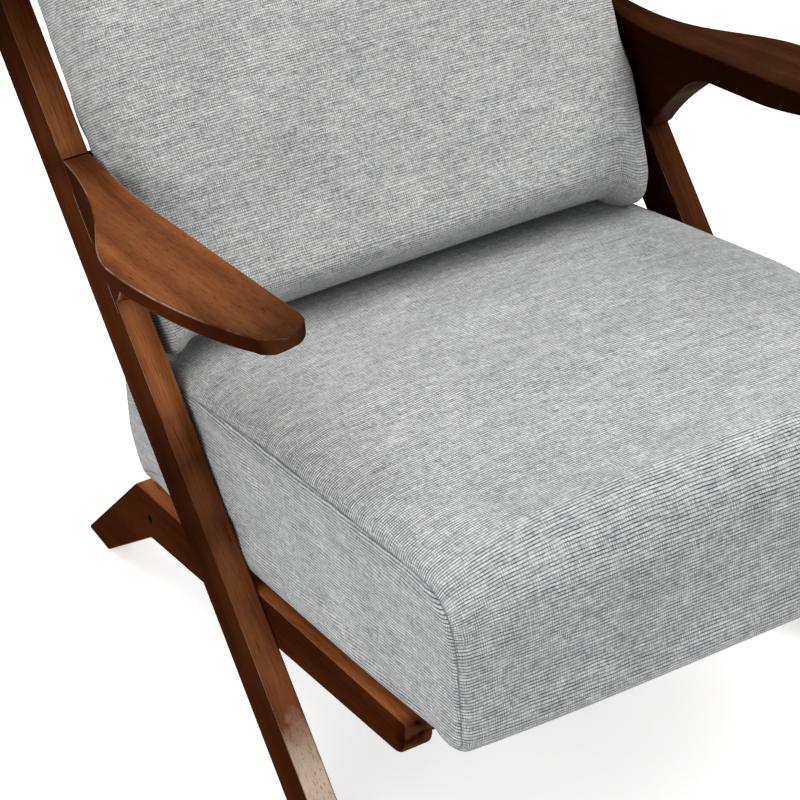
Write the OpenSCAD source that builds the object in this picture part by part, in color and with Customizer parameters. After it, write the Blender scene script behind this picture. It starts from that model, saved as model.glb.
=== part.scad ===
// Low lounge chair: two leaning posts, one-piece side rails with rear legs, sculpted paddle
// arms, a spindle back frame, a thick upholstered seat and a loose back cushion.
// X is across the chair, +Y is towards the back, +Z is up, and the floor is Z = 0.

/* [Overall] */
// Clear width between the two leaning posts
clear_w = 518; // [480:1:600]
// Thickness of the posts and of the side rails with their rear legs
board_t = 26; // [24:1:32]
// Radius that eases every long wooden edge
edge_r = 2.5; // [1.5:0.1:4]

/* [Posts] */
// Lean of the posts, back from upright, in degrees
post_lean = 40; // [38:0.5:42]
// Depth of a post, square to its length
post_depth = 58; // [54:1:64]
// Length of a post along its front edge, from the floor
post_len = 922; // [900:1:960]
// Radius at the two top corners of a post
post_top_r = 10; // [4:1:16]
// Distance of a post's foot in front of the middle of the chair
post_foot = 219; // [210:1:230]

/* [Side rails and rear legs] */
// Slope of the seat and its rails, down towards the back, in degrees
seat_tilt = 8.7; // [8:0.1:9.5]
// Height of a side rail's top edge at the middle of the chair
rail_top = 182.4; // [176:0.2:190]
// Distance of a side rail's front end in front of the middle of the chair
rail_reach = 325; // [315:1:335]
// Depth of a side rail at its front end
rail_front_d = 38; // [36:0.5:42]
// Depth of a side rail at the knee
rail_knee_d = 55; // [50:0.5:58]
// Undercut of a side rail's front end
rail_undercut = 8; // [2:0.5:12]
// Distance of the knee's outer corner behind the middle of the chair
knee_y = 218; // [212:1:226]
// Distance of the knee's inner corner behind the middle of the chair
knee_in_y = 198; // [192:1:204]
// Radius of the knee's outer corner
knee_r = 18; // [8:1:26]
// Radius of the knee's inner corner
knee_in_r = 25; // [10:1:40]
// Distance of the rear foot's front corner behind the middle of the chair
leg_foot_y = 331; // [322:1:340]
// Length of the rear foot on the floor
leg_foot_len = 50; // [44:1:56]

/* [Arms] */
// Height of an arm's top face where it meets the post
arm_z = 507; // [495:1:520]
// Distance of an arm's tip in front of the middle of the chair
arm_reach = 235; // [222:1:246]
// Greatest width of an arm
arm_w = 78; // [66:1:88]
// Thickness of an arm along its inner side
arm_t = 28; // [24:0.5:31]
// Thickness of an arm along its outer edge and at its tip
arm_edge_t = 15; // [12:0.5:18]
// Upward slope of an arm towards its tip, in degrees
arm_rise = 7.5; // [5:0.1:9]
// Length of the glued joint along the post's front face
arm_root = 133.5; // [125:0.5:140]
// Depth of the blunt heel at the lower end of that joint
arm_heel = 10; // [6:0.5:14]
// Droop of an arm's outer edge below its inner side
arm_droop = 3; // [0:0.5:5]
// Radius that eases an arm's edges
arm_edge_r = 3.2; // [2:0.1:5]

/* [Arm shaping] */
// Length of an arm's level part, from the post to the middle of its bend
arm_level = 91; // [80:1:100]
// Half length of that bend, over which the arm starts to rise
arm_bend_r = 40; // [30:1:50]
// Distance of an arm's widest place behind its tip
arm_wide = 215; // [205:1:225]
// Distance of the bracket's front end in front of the post
arm_under = 191; // [180:1:200]
// Reach of the outer edge's sweep in front of the post
arm_sweep = 116; // [100:1:125]
// Reach of that sweep behind the widest place
arm_flare = 62; // [50:1:75]
// Reach of the outer edge's curve in front of the widest place
arm_taper = 70; // [60:1:85]
// Reach of that curve behind the tip
arm_nose = 48; // [40:1:60]
// Narrowing of the outer edge at that reach
arm_nose_in = 15; // [8:1:20]
// Narrowing of the outer edge at the tip
arm_tip_in = 41; // [34:1:46]
// Distance behind the tip at which the underside starts to deepen
arm_deep_from = 33; // [20:1:50]
// Length over which the underside deepens
arm_deepen = 150; // [120:1:180]
// Length over which the outer edge thins towards the tip
arm_thin = 75; // [60:1:90]
// Length over which the outline closes round the tip on the outer side
tip_out = 16; // [12:1:20]
// Length over which the outline closes round the tip on the inner side
tip_in = 26; // [20:1:32]
// Distance of the tip's foremost place from the inner side
tip_x = 20; // [14:1:26]
// Reach of the bracket's curve where it leaves the underside
bracket_out = 33; // [24:1:42]
// Reach of the bracket's curve where it meets the heel
bracket_in = 51; // [40:1:60]
// Angle of the bracket's curve from upright at the heel
bracket_turn = 36; // [30:1:42]

/* [Cross rails] */
// Width of a cross rail, front to back
cross_w = 45; // [40:1:50]
// Height of a cross rail
cross_h = 30; // [28:1:34]
// Setback of the front cross rail's face from the side rails' front ends
cross_setback = 4; // [0:0.5:15]
// Distance of the rear cross rail's front face behind the middle, along the seat
cross_rear = 146; // [136:1:150]
// Gap between a side rail's top edge and the seat's underside, square to the seat
seat_lift = 11; // [9:0.5:12]

/* [Back frame] */
// Lean of the back frame and cushion, back from upright, in degrees
back_lean = 31; // [30:0.5:32]
// Thickness of the crest rail and the lower back rail
back_rail_t = 14; // [13:0.5:16]
// Height of the crest rail, along the back
crest_h = 46; // [40:1:50]
// Height of the lower back rail, along the back
lower_h = 33; // [30:1:36]
// Distance from the lower back rail's bottom edge to the crest rail's top edge, along the back
back_frame_h = 275; // [265:1:278]
// Distance of the crest rail's top edge from the posts' top corner, along the post
crest_drop = 11; // [8:1:20]
// Distance of the crest rail's top edge behind the posts' front faces
crest_inset = 4.7; // [4:0.1:8]
// Number of spindles in the back
spindles = 7; // [5:1:9]
// Spacing of the spindles
spindle_pitch = 60; // [40:1:66]
// Diameter of a spindle at its middle
spindle_d = 13; // [11:0.5:13]
// Diameter of a spindle's neck
spindle_neck_d = 9.5; // [9:0.1:10.5]
// Diameter of a spindle's tenons
tenon_d = 8; // [6:0.5:8.5]
// Length of a spindle's tenons
tenon_len = 18; // [12:1:24]

/* [Seat] */
// Gap between the seat and a post on each side
seat_gap = 3; // [1:0.5:5]
// Distance of the seat's front bottom edge in front of the middle, along the seat
seat_front = 416; // [406:1:424]
// Distance of the seat's rear bottom edge behind the middle, along the seat
seat_rear = 207; // [200:1:212]
// Height of the seat's side seam at the front
seat_front_h = 143; // [134:1:150]
// Height of the seat's side seam at its highest
seat_mid_h = 152.5; // [148:0.5:160]
// Height of the seat's side seam at the back
seat_rear_h = 132; // [128:1:140]
// Forward bulge of the seat's front face from its bottom edge
seat_nose = 16; // [10:1:24]
// Distance of the side seam's highest place in front of the middle of the chair
seat_peak_at = 130; // [100:5:220]
// Radius of the seat's upper front edge at its sides
seat_top_r = 34; // [16:1:44]
// Rise of the seat's crown above its side seams
seat_crown = 27; // [16:1:34]
// Extra rise of the crown at the seat's back
seat_crown_gain = 13; // [0:1:16]
// Forward bulge of the seat's front between its sides
seat_front_crown = 7; // [2:1:12]
// Radius of the seat's lower front edge
seat_edge_r = 24; // [12:1:30]
// Thickness of the seat's cover with its wadding
seat_cover_t = 6; // [4:0.5:8]
// Width of the cover's turned-in margin under the seat
turn_in = 13; // [10:1:20]
// Width of the boards in the seat's inner frame
frame_w = 50; // [44:1:56]
// Thickness of the boards in the seat's inner frame
frame_t = 22; // [20:0.5:25]
// Width of an elastic strap
strap_w = 60; // [50:1:70]
// Number of elastic straps under the foam
straps = 5; // [4:1:6]
// Thickness of an elastic strap
strap_t = 2; // [1.5:0.1:3]

/* [Back cushion] */
// Width of the back cushion at its bottom
cushion_w = 494; // [480:1:500]
// Extra width of the back cushion at its top
cushion_flare = 12; // [0:1:14]
// Height of the back cushion along its side band
cushion_h = 453; // [440:1:460]
// Thickness of the back cushion's side band
cushion_t = 66; // [64:1:74]
// Forward crown of the back cushion between its side bands
cushion_crown = 30; // [16:1:34]
// Backward crown of the back cushion between its side bands
cushion_back_crown = 20; // [12:1:22]
// Rise of the back cushion's top between its sides
cushion_top_crown = 8; // [2:1:12]
// Sag of the back cushion's bottom corners below its middle
cushion_sag = 5; // [0:1:8]
// Radius of the back cushion's side bands at the bottom
cushion_bottom_r = 30; // [24:1:32]
// Radius of the back cushion's side bands at the top front
cushion_top_r = 36; // [24:1:38]
// Radius of the back cushion's side bands at the top back
cushion_rear_r = 24; // [16:1:26]
// Gap between the back cushion and the back frame behind it
cushion_gap = 0.5; // [0.3:0.1:2]
// Thickness of the back cushion's cover with its wadding
cushion_cover_t = 8; // [6:0.5:10]
// Length of the zip in the back of the cushion's cover
zip_len = 320; // [280:1:340]
// Width of the zip's tape
zip_w = 22; // [20:0.5:24]
// Height of the zip's middle above the cushion's bottom
zip_up = 71; // [60:1:80]

/* [Hardware] */
// Diameter of the dowels that hold the arms
arm_dowel_d = 10; // [8:0.5:12]
// Length of the dowels that hold the arms
arm_dowel_len = 56; // [48:1:60]
// Diameter of the dowels at the ends of the cross rails
cross_dowel_d = 8; // [6:0.5:9]
// Length of the dowels at the ends of the cross rails
cross_dowel_len = 38; // [30:1:40]
// Diameter of the dowels at the ends of the back rails
back_dowel_d = 6; // [5:0.5:7]
// Length of the dowels at the ends of the back rails
back_dowel_len = 32; // [24:1:34]
// Diameter of the bolts that join a side rail to a post
bolt_d = 6; // [5:0.5:7]
// Diameter of those bolts' flat heads
bolt_head_d = 17; // [14:0.5:18]
// Thickness of those bolts' flat heads
bolt_head_t = 2.4; // [2:0.1:3]
// Spacing of the two bolts of one joint
bolt_pitch = 30; // [27:1:34]
// Outer diameter of the threaded inserts
insert_d = 10; // [9:0.5:11]
// Length of the threaded inserts
insert_len = 15; // [12:0.5:17]
// Diameter of the screws that hold the seat
screw_d = 5; // [4:0.5:6]
// Length of the screws that hold the seat
screw_len = 50; // [46:1:54]
// Distance of the screws that hold the seat from the side rails' inner faces
seat_screw_in = 27; // [22:1:30]
// Diameter of the wooden plugs in the knees
plug_d = 9; // [7:0.5:10]
// Depth of the wooden plugs
plug_len = 8; // [6:0.5:10]
// Distance of a wooden plug in front of the knee's outer corner
plug_back = 27; // [20:1:34]
// Distance of a wooden plug below the side rail's top edge
plug_down = 30; // [24:1:36]
// Diameter of a foot glide
glide_d = 22; // [18:1:24]
// Thickness of a foot glide
glide_t = 2; // [1.5:0.1:4]

/* [Clearances] */
// Radial clearance of a dowel, tenon, plug or bolt in its hole
hole_clear = 0.05; // [0.02:0.01:0.1]
// Clearance round a soft piece
soft_clear = 0.3; // [0.2:0.05:0.5]
// Spare depth at the blind end of a hole
end_clear = 0.5; // [0.3:0.1:1]

/* [Hidden] */

$fn = 48;
wood = [0.30, 0.13, 0.07];
dark_wood = [0.16, 0.07, 0.04];
inner_wood = [0.72, 0.58, 0.40];
cloth = [0.74, 0.74, 0.73];
foam = [0.90, 0.86, 0.74];
black = [0.08, 0.08, 0.08];
steel = [0.62, 0.62, 0.64];

// Places that several pieces share
inner_x = clear_w / 2;
rail_in_x = inner_x - board_t;
lean_t = tan(post_lean);
tilt_t = tan(seat_tilt);
cross_len = 2 * rail_in_x;

// Unit directions in the side view: along a post and square to it, towards the front
post_dir = [sin(post_lean), cos(post_lean)];
post_out = [-cos(post_lean), sin(post_lean)];

function mix(a, b, t) = a + (b - a) * t;
function ease(t) = let (u = min(max(t, 0), 1)) u * u * (3 - 2 * u);
function bez(a, b, c, d, t) =
    a * pow(1 - t, 3) + 3 * b * t * pow(1 - t, 2) + 3 * c * t * t * (1 - t) + d * pow(t, 3);
function unit(v) = v / norm(v);
function left_of(v) = [-v[1], v[0]];
function turn(u, v) = atan2(u[0] * v[1] - u[1] * v[0], u * v);

// Distance along Y of a post's front edge at height z
function post_front(z) = -post_foot + lean_t * z;
// Height of a side rail's top and bottom edges at distance y
function rail_z(y) = rail_top - tilt_t * y;
function rail_depth(y) =
    mix(rail_front_d, rail_knee_d, (y + rail_reach) / (knee_in_y + rail_reach));
function rail_under(y) = rail_z(y) - rail_depth(y);

// Crossing of a post's centre line with a side rail's centre line
post_mid = -post_foot + post_depth / cos(post_lean) / 2;
rail_mid = (rail_z(0) + rail_under(0)) / 2;
rail_fall = rail_mid - (rail_z(1) + rail_under(1)) / 2;
cross_y = (post_mid + lean_t * rail_mid) / (1 + lean_t * rail_fall);
cross_z = rail_mid - rail_fall * cross_y;

// Outlines: a list of corners [y, z, radius, steps], counter-clockwise, gives points with
// their outward normals, and a ring moves each point in along its normal
function rounded(c) = [
    for (i = [0 : len(c) - 1])
        let (
            n = len(c),
            p = [c[i][0], c[i][1]],
            a = [c[(i + n - 1) % n][0], c[(i + n - 1) % n][1]],
            b = [c[(i + 1) % n][0], c[(i + 1) % n][1]],
            u = unit(p - a),
            v = unit(b - p),
            w = turn(u, v),
            s = w < 0 ? -1 : 1,
            r = c[i][2],
            mid = p + s * (left_of(u) + left_of(v)) * r / (1 + u * v),
            start = atan2(-left_of(u)[1], -left_of(u)[0])
        )
        for (k = [0 : c[i][3]])
            let (g = start + w * k / c[i][3], q = [cos(g), sin(g)])
            [mid + s * r * q, q]
];
function ring(o, inset) = [for (q = o) q[0] - inset * q[1]];
function first_of(c, i) = i <= 0 ? 0 : first_of(c, i - 1) + c[i - 1][3] + 1;

// Faces of a body through m rings of n points, its ends closed by a fan from point f
function loft_faces(m, n, f) = concat(
    [for (i = [1 : n - 2]) [f, (f + i) % n, (f + i + 1) % n]],
    [
        for (j = [0 : m - 2], i = [0 : n - 1])
            each [
                [j * n + i, (j + 1) * n + i, (j + 1) * n + (i + 1) % n],
                [j * n + i, (j + 1) * n + (i + 1) % n, j * n + (i + 1) % n]
            ]
    ],
    [for (i = [1 : n - 2]) [(m - 1) * n + f, (m - 1) * n + (f + i + 1) % n, (m - 1) * n + (f + i) % n]]
);

// A board of thickness t from x0, with the outline of corners c and eased edges
module board(c, x0, t, r, f = 0) {
    o = rounded(c);
    turns = [0, 45, 90];
    levels = concat(
        [for (g = turns) [r * (1 - sin(g)), r * (1 - cos(g))]],
        [for (g = [90, 45, 0]) [r * (1 - sin(g)), t - r * (1 - cos(g))]]
    );
    polyhedron(
        [for (l = levels, p = ring(o, l[0])) [x0 + l[1], p[0], p[1]]],
        loft_faces(len(levels), len(o), f)
    );
}

// A hole or pin along +X from x0, at [y, z] in the side view
module along_x(x0, p, d, len) {
    translate([x0, p[0], p[1]])
        rotate([0, 90, 0])
            cylinder(d = d, h = len);
}

// A copy on each side, with the piece drawn on the right
module on_side(side) {
    if (side < 0)
        mirror([1, 0, 0])
            children();
    else
        children();
}
module both_sides() {
    children();
    mirror([1, 0, 0])
        children();
}

// Posts
post_heel = post_front(glide_t);
post_head = [-post_foot + post_len * post_dir[0], post_len * post_dir[1]];
post_c = [
    [post_heel, glide_t, 2, 2],
    [post_heel + post_depth / cos(post_lean), glide_t, 2, 2],
    [post_head[0] - post_depth * post_out[0], post_head[1] - post_depth * post_out[1], post_top_r, 5],
    [post_head[0], post_head[1], post_top_r, 5]
];
bolt_at = [for (s = [-1, 1]) [
    cross_y + s * bolt_pitch / 2 * cos(seat_tilt),
    cross_z - s * bolt_pitch / 2 * sin(seat_tilt)
]];
post_glide_y = post_heel + post_depth / cos(post_lean) / 2;
leg_glide_y = leg_foot_y + leg_foot_len / 2;
glide_nail_d = 2.4;
glide_nail_len = 14;

module post() {
    difference() {
        board(post_c, inner_x, board_t, edge_r);
        // Holes for the arm's dowels, in from the front face
        for (q = arm_dowel_at)
            arm_dowel_hole(q);
        // Holes for the threaded inserts, in from the inner face
        for (p = bolt_at)
            along_x(inner_x - 1, p, insert_d + 2 * hole_clear, insert_len + end_clear + 1);
        // Holes for the back rails' dowels
        for (p = back_dowel_at)
            along_x(inner_x - 1, p, back_dowel_d + 2 * hole_clear, back_dowel_len / 2 + end_clear + 1);
        glide_hole(inner_x + board_t / 2, post_glide_y);
    }
}
module post_left() { color(wood) on_side(-1) post(); }
module post_right() { color(wood) on_side(1) post(); }

// Side rails with their rear legs
rail_front_z = rail_z(-rail_reach);
rail_c = [
    [-rail_reach + rail_undercut, rail_under(-rail_reach + rail_undercut), 26, 6],
    [knee_in_y, rail_under(knee_in_y), knee_in_r, 5],
    [leg_foot_y, glide_t, 2, 2],
    [leg_foot_y + leg_foot_len, glide_t, 2, 2],
    [knee_y, rail_z(knee_y), knee_r, 6],
    [-rail_reach, rail_front_z, 3, 2]
];
knee_plug_y = knee_y - plug_back;
knee_plug_z = rail_z(knee_plug_y) - plug_down;

module side_rail() {
    difference() {
        board(rail_c, rail_in_x, board_t, edge_r, first_of(rail_c, 4) + 3);
        for (p = bolt_at) {
            along_x(rail_in_x - 1, p, bolt_d + 2 * hole_clear, board_t + 2);
            along_x(rail_in_x - 1, p, bolt_head_d + 2 * hole_clear, bolt_head_t + 1);
        }
        for (p = cross_dowel_at)
            along_x(rail_in_x - 1, p, cross_dowel_d + 2 * hole_clear, cross_dowel_len / 2 + end_clear + 1);
        along_x(inner_x - plug_len - end_clear, [knee_plug_y, knee_plug_z],
            plug_d + 2 * hole_clear, plug_len + end_clear + 1);
        glide_hole(inner_x - board_t / 2, leg_glide_y);
    }
}
module side_rail_left() { color(wood) on_side(-1) side_rail(); }
module side_rail_right() { color(wood) on_side(1) side_rail(); }

// Arms
// Root of the arm on the post's front face, top and bottom, in the side view
arm_head = [post_front(arm_z), arm_z];
arm_foot = arm_head - arm_root * post_dir;
arm_heel_p = arm_foot + arm_heel * post_out;
// The arm is level for a short way and then rises, with a soft bend between
arm_bend_y = arm_head[0] - arm_level;
// Where the arm is widest, and where the bracket under it ends
arm_wide_y = -arm_reach + arm_wide;
arm_under_y = arm_head[0] - arm_under;

function arm_rise_at(y) =
    let (u = arm_bend_y - y)
    u < -arm_bend_r ? 0 : u > arm_bend_r ? u : pow(u + arm_bend_r, 2) / (4 * arm_bend_r);
function arm_top(y) = arm_z + tan(arm_rise) * arm_rise_at(y);
function arm_droop_at(y) = arm_droop * ease((arm_head[0] - y) / arm_wide);
function arm_depth(y) = mix(arm_edge_t, arm_t, ease((y + arm_reach - arm_deep_from) / arm_deepen));

// Outer edge in plan, as [y, distance from the inner face]
function arm_edge_back(t) =
    bez([arm_head[0], board_t], [arm_head[0] - arm_sweep, board_t], [arm_wide_y + arm_flare, arm_w],
        [arm_wide_y, arm_w], t);
function arm_edge_front(t) =
    bez([arm_wide_y, arm_w], [arm_wide_y - arm_taper, arm_w], [-arm_reach + arm_nose, arm_w - arm_nose_in],
        [-arm_reach, arm_w - arm_tip_in], t);
arm_tip_t = 0.9;
arm_line = concat(
    [for (t = [0, 0.045]) arm_edge_back(t)],
    [for (k = [1 : 11]) arm_edge_back(mix(0.045, 1, k / 11))],
    [for (k = [1 : 8]) arm_edge_front(k / 8 * arm_tip_t)],
    [
        let (q = arm_edge_front(arm_tip_t))
        for (g = [66, 52, 38, 25, 12, 0])
            [-arm_reach + min(tip_out, q[0] + arm_reach) * (1 - cos(g)), q[1] - 2]
    ]
);

// Underside in the side view, along the inner side
function arm_bottom(y) =
    y >= arm_line[1][0] ? mix(arm_heel_p, arm_foot, (y - arm_line[1][0]) / (arm_head[0] - arm_line[1][0]))
    : y <= arm_under_y ? [y, arm_top(y) - arm_depth(y)]
    : let (
        t = (y - arm_under_y) / (arm_line[1][0] - arm_under_y),
        a = [arm_under_y, arm_top(arm_under_y) - arm_depth(arm_under_y)]
    )
    bez(a, a + bracket_out * [cos(arm_rise), -sin(arm_rise)],
        arm_heel_p + bracket_in * [-sin(bracket_turn), cos(bracket_turn)], arm_heel_p, t);

// Eight stations make a round corner: points of a section, counter-clockwise from the front
function corner_turns(s) = [for (g = [0, 45, 90]) s + g];
function arm_section(q) =
    let (
        y = q[0],
        e = y + arm_reach,
        close_in = e < tip_in ? sqrt(1 - pow(1 - e / tip_in, 2)) : 1,
        close_out = e < tip_out ? sqrt(1 - pow(1 - e / tip_out, 2)) : 1,
        xi = tip_x * (1 - close_in),
        xo = tip_x + (q[1] - tip_x) * close_out + (close_out < 1 ? 2 : 0),
        pinch = e < arm_edge_r ? arm_edge_r - sqrt(pow(arm_edge_r, 2) - pow(arm_edge_r - e, 2)) : 0,
        top = [y, arm_top(y) - pinch],
        low_in = arm_bottom(y) + [0, pinch],
        low_out = mix(low_in, [y, top[1] - arm_edge_t + 2 * pinch], ease((arm_bend_y - y) / arm_thin)),
        w = xo - xi,
        r = min(arm_edge_r, w * 0.4)
    )
    [
        for (c = [[0, 0, 180], [1, 0, 270], [1, 1, 0], [0, 1, 90]], g = corner_turns(c[2]))
            let (
                cx = mix(r, w - r, c[0]) + r * cos(g),
                a = cx / w,
                h = mix(norm(top - low_in), norm(top - low_out), a),
                k = min(r, h * 0.4),
                b = (mix(k, h - k, c[1]) + k * sin(g)) / h,
                p = mix(mix(low_in, low_out, a), top, b) - [0, arm_droop_at(y) * a]
            )
            [inner_x + xi + cx, p[0], p[1]]
    ];

// Dowels stand square to the post's front face, at these distances up the joint
arm_dowel_at = [arm_root * 0.36, arm_root * 0.72];
module at_arm_joint(q) {
    p = arm_foot + q * post_dir;
    translate([inner_x + board_t / 2, p[0], p[1]])
        rotate([90 - post_lean, 0, 0])
            children();
}
module arm_dowel_hole(q) {
    d = arm_dowel_d + 2 * hole_clear;
    len = arm_dowel_len + 2 * end_clear;
    at_arm_joint(q)
        cylinder(d = d, h = len, center = true);
}
module arm() {
    difference() {
        polyhedron([for (q = arm_line) each arm_section(q)], loft_faces(len(arm_line), 12, 0));
        for (q = arm_dowel_at)
            arm_dowel_hole(q);
    }
}
module arm_left() { color(wood) on_side(-1) arm(); }
module arm_right() { color(wood) on_side(1) arm(); }

module arm_dowels() {
    color(inner_wood)
        both_sides()
            for (q = arm_dowel_at)
                at_arm_joint(q)
                    cylinder(d = arm_dowel_d, h = arm_dowel_len, center = true);
}

// Cross rails
// The seat's own plane: its underside at the middle of the chair, tilted with the rails
seat_z = rail_top + seat_lift / cos(seat_tilt);
seat_dir = [cos(seat_tilt), -sin(seat_tilt)];
seat_up = [sin(seat_tilt), cos(seat_tilt)];
module in_seat() {
    translate([0, 0, seat_z])
        rotate([-seat_tilt, 0, 0])
            children();
}
function seat_point(s, h) = [0, seat_z] + s * seat_dir + h * seat_up;

cross_front = rail_reach - cross_setback;
cross_starts = [-cross_front, cross_rear];
cross_dowel_h = (-seat_lift - cross_h) / 2;
cross_dowel_at = [
    for (s = cross_starts, k = [-1, 1]) seat_point(s + cross_w / 2 + k * cross_w / 4, cross_dowel_h)
];
seat_screw_x = rail_in_x - seat_screw_in;
screw_head_d = 2 * screw_d;
screw_head_t = screw_d / 2;

module cross_rail(s) {
    c = [
        [s, -cross_h, 3, 2],
        [s + cross_w, -cross_h, 3, 2],
        [s + cross_w, 0, 3, 2],
        [s, 0, 3, 2]
    ];
    difference() {
        in_seat() {
            difference() {
                board(c, -cross_len / 2, cross_len, 0.4);
                for (x = [-seat_screw_x, seat_screw_x])
                    translate([x, s + cross_w / 2, -cross_h - 1]) {
                        cylinder(d = screw_d + 2 * hole_clear, h = cross_h + 2);
                        cylinder(d = screw_head_d + 2 * hole_clear, h = screw_head_t + 1);
                    }
            }
        }
        both_sides()
            for (p = [for (k = [-1, 1]) seat_point(s + cross_w / 2 + k * cross_w / 4, cross_dowel_h)])
                along_x(rail_in_x - cross_dowel_len / 2 - end_clear, p, cross_dowel_d + 2 * hole_clear,
                    cross_dowel_len / 2 + end_clear + 1);
    }
}
module front_cross_rail() { color(wood) cross_rail(-cross_front); }
module rear_cross_rail() { color(wood) cross_rail(cross_rear); }

module cross_rail_dowels() {
    color(inner_wood)
        both_sides()
            for (p = cross_dowel_at)
                along_x(rail_in_x - cross_dowel_len / 2, p, cross_dowel_d, cross_dowel_len);
}

// Back frame
// The back's own plane: n runs square to it towards the back, v runs up along it
module in_back() {
    rotate([-back_lean, 0, 0])
        children();
}
back_n_dir = [cos(back_lean), -sin(back_lean)];
back_v_dir = [sin(back_lean), cos(back_lean)];
function back_point(n, v) = n * back_n_dir + v * back_v_dir;

// The crest rail's upper front corner lies inside the posts, below their top corner
crest_p = post_head - crest_drop * post_dir - crest_inset * post_out;
back_n = crest_p * back_n_dir;
crest_top = crest_p * back_v_dir;
lower_bottom = crest_top - back_frame_h;
back_dowel_n = back_n + back_rail_t * 0.4;
back_dowel_v = [
    crest_top - crest_h * 0.28, crest_top - crest_h * 0.72,
    lower_bottom + lower_h * 0.8, lower_bottom + lower_h * 0.4
];
back_dowel_at = [for (v = back_dowel_v) back_point(back_dowel_n, v)];
spindle_n = back_n + back_rail_t / 2;
spindle_lo = lower_bottom + lower_h;
spindle_hi = crest_top - crest_h;
function spindle_x(i) = (i - (spindles + 1) / 2) * spindle_pitch;

module back_rail(v, h, hole_v) {
    c = [
        [back_n, v, 3, 2],
        [back_n + back_rail_t, v, 3, 2],
        [back_n + back_rail_t, v + h, 3, 2],
        [back_n, v + h, 3, 2]
    ];
    difference() {
        in_back() {
            difference() {
                board(c, -inner_x, clear_w, 0.4);
                for (i = [1 : spindles])
                    translate([spindle_x(i), spindle_n, hole_v])
                        cylinder(d = tenon_d + 2 * hole_clear, h = tenon_len + end_clear + 1);
            }
        }
        both_sides()
            for (k = back_dowel_at)
                along_x(inner_x - back_dowel_len / 2 - end_clear, k, back_dowel_d + 2 * hole_clear,
                    back_dowel_len / 2 + end_clear + 1);
    }
}
module crest_rail() { color(wood) back_rail(spindle_hi, crest_h, spindle_hi - 1); }
module lower_back_rail() {
    color(wood) back_rail(lower_bottom, lower_h, spindle_lo - tenon_len - end_clear);
}

// A turned spindle, full at its middle and drawn in at its necks
function spindle_r(t) = mix(spindle_neck_d, spindle_d, sin(180 * t)) / 2;
module spindle(i) {
    len = spindle_hi - spindle_lo;
    in_back()
        translate([spindle_x(i), spindle_n, spindle_lo])
            rotate_extrude($fn = 32)
                polygon(concat(
                    [[0, -tenon_len], [tenon_d / 2, -tenon_len], [tenon_d / 2, 0]],
                    [for (k = [0 : 10]) [spindle_r(k / 10), len * k / 10]],
                    [[tenon_d / 2, len], [tenon_d / 2, len + tenon_len], [0, len + tenon_len]]
                ));
}
module spindle_1() { color(wood) spindle(1); }
module spindle_2() { color(wood) spindle(2); }
module spindle_3() { color(wood) spindle(3); }
module spindle_4() { color(wood) spindle(4); }
module spindle_5() { color(wood) spindle(5); }
module spindle_6() { color(wood) spindle(6); }
module spindle_7() { color(wood) spindle(7); }

module back_rail_dowels() {
    color(inner_wood)
        both_sides()
            for (p = back_dowel_at)
                along_x(inner_x - back_dowel_len / 2, p, back_dowel_d, back_dowel_len);
}

// Hardware
module frame_bolts() {
    color(steel)
        both_sides()
            for (p = bolt_at) {
                along_x(rail_in_x, p, bolt_head_d, bolt_head_t);
                along_x(rail_in_x, p, bolt_d, board_t + insert_len);
            }
}
module threaded_inserts() {
    color(steel)
        both_sides()
            for (p = bolt_at)
                difference() {
                    along_x(inner_x, p, insert_d, insert_len);
                    along_x(inner_x - 1, p, bolt_d + 2 * hole_clear, insert_len + 2);
                }
}
module knee_plugs() {
    color(dark_wood)
        both_sides()
            along_x(inner_x - plug_len, [knee_plug_y, knee_plug_z], plug_d, plug_len);
}
module glide_hole(x, y) {
    translate([x, y, glide_t - 1])
        cylinder(d = glide_nail_d + 2 * hole_clear, h = glide_nail_len + end_clear + 1);
}
module glide(x, y) {
    translate([x, y, 0]) {
        cylinder(d = glide_d, h = glide_t);
        cylinder(d = glide_nail_d, h = glide_t + glide_nail_len);
    }
}
module foot_glides() {
    color(black)
        both_sides() {
            glide(inner_x + board_t / 2, post_glide_y);
            glide(inner_x - board_t / 2, leg_glide_y);
        }
}

// Cushions
// A cushion is its side outline carried across from one side seam to the other. Between the
// seams the outline swells by crown [front, back, top, bottom], and the side bands puff out.
// The last two numbers of crown make the top's crown grow with distance behind a place.
function swell(q, crown, f) =
    let (n = q[1])
    q[0] + [
        max(n[0], 0) * crown[1] * f[1] - max(-n[0], 0) * crown[0] * f[0],
        max(n[1], 0) * (crown[2] + crown[4] * max(q[0][0] - crown[5], 0)) * f[2]
            - max(-n[1], 0) * crown[3] * f[3]
    ];
function crown_at(u, power) = [for (k = power) pow(1 - pow(abs(u), k), 0.75)];
function centre_of(o) = let (n = len(o)) [for (k = [0, 1]) [for (q = o) q[0][k]] * [for (q = o) 1 / n]];

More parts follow.
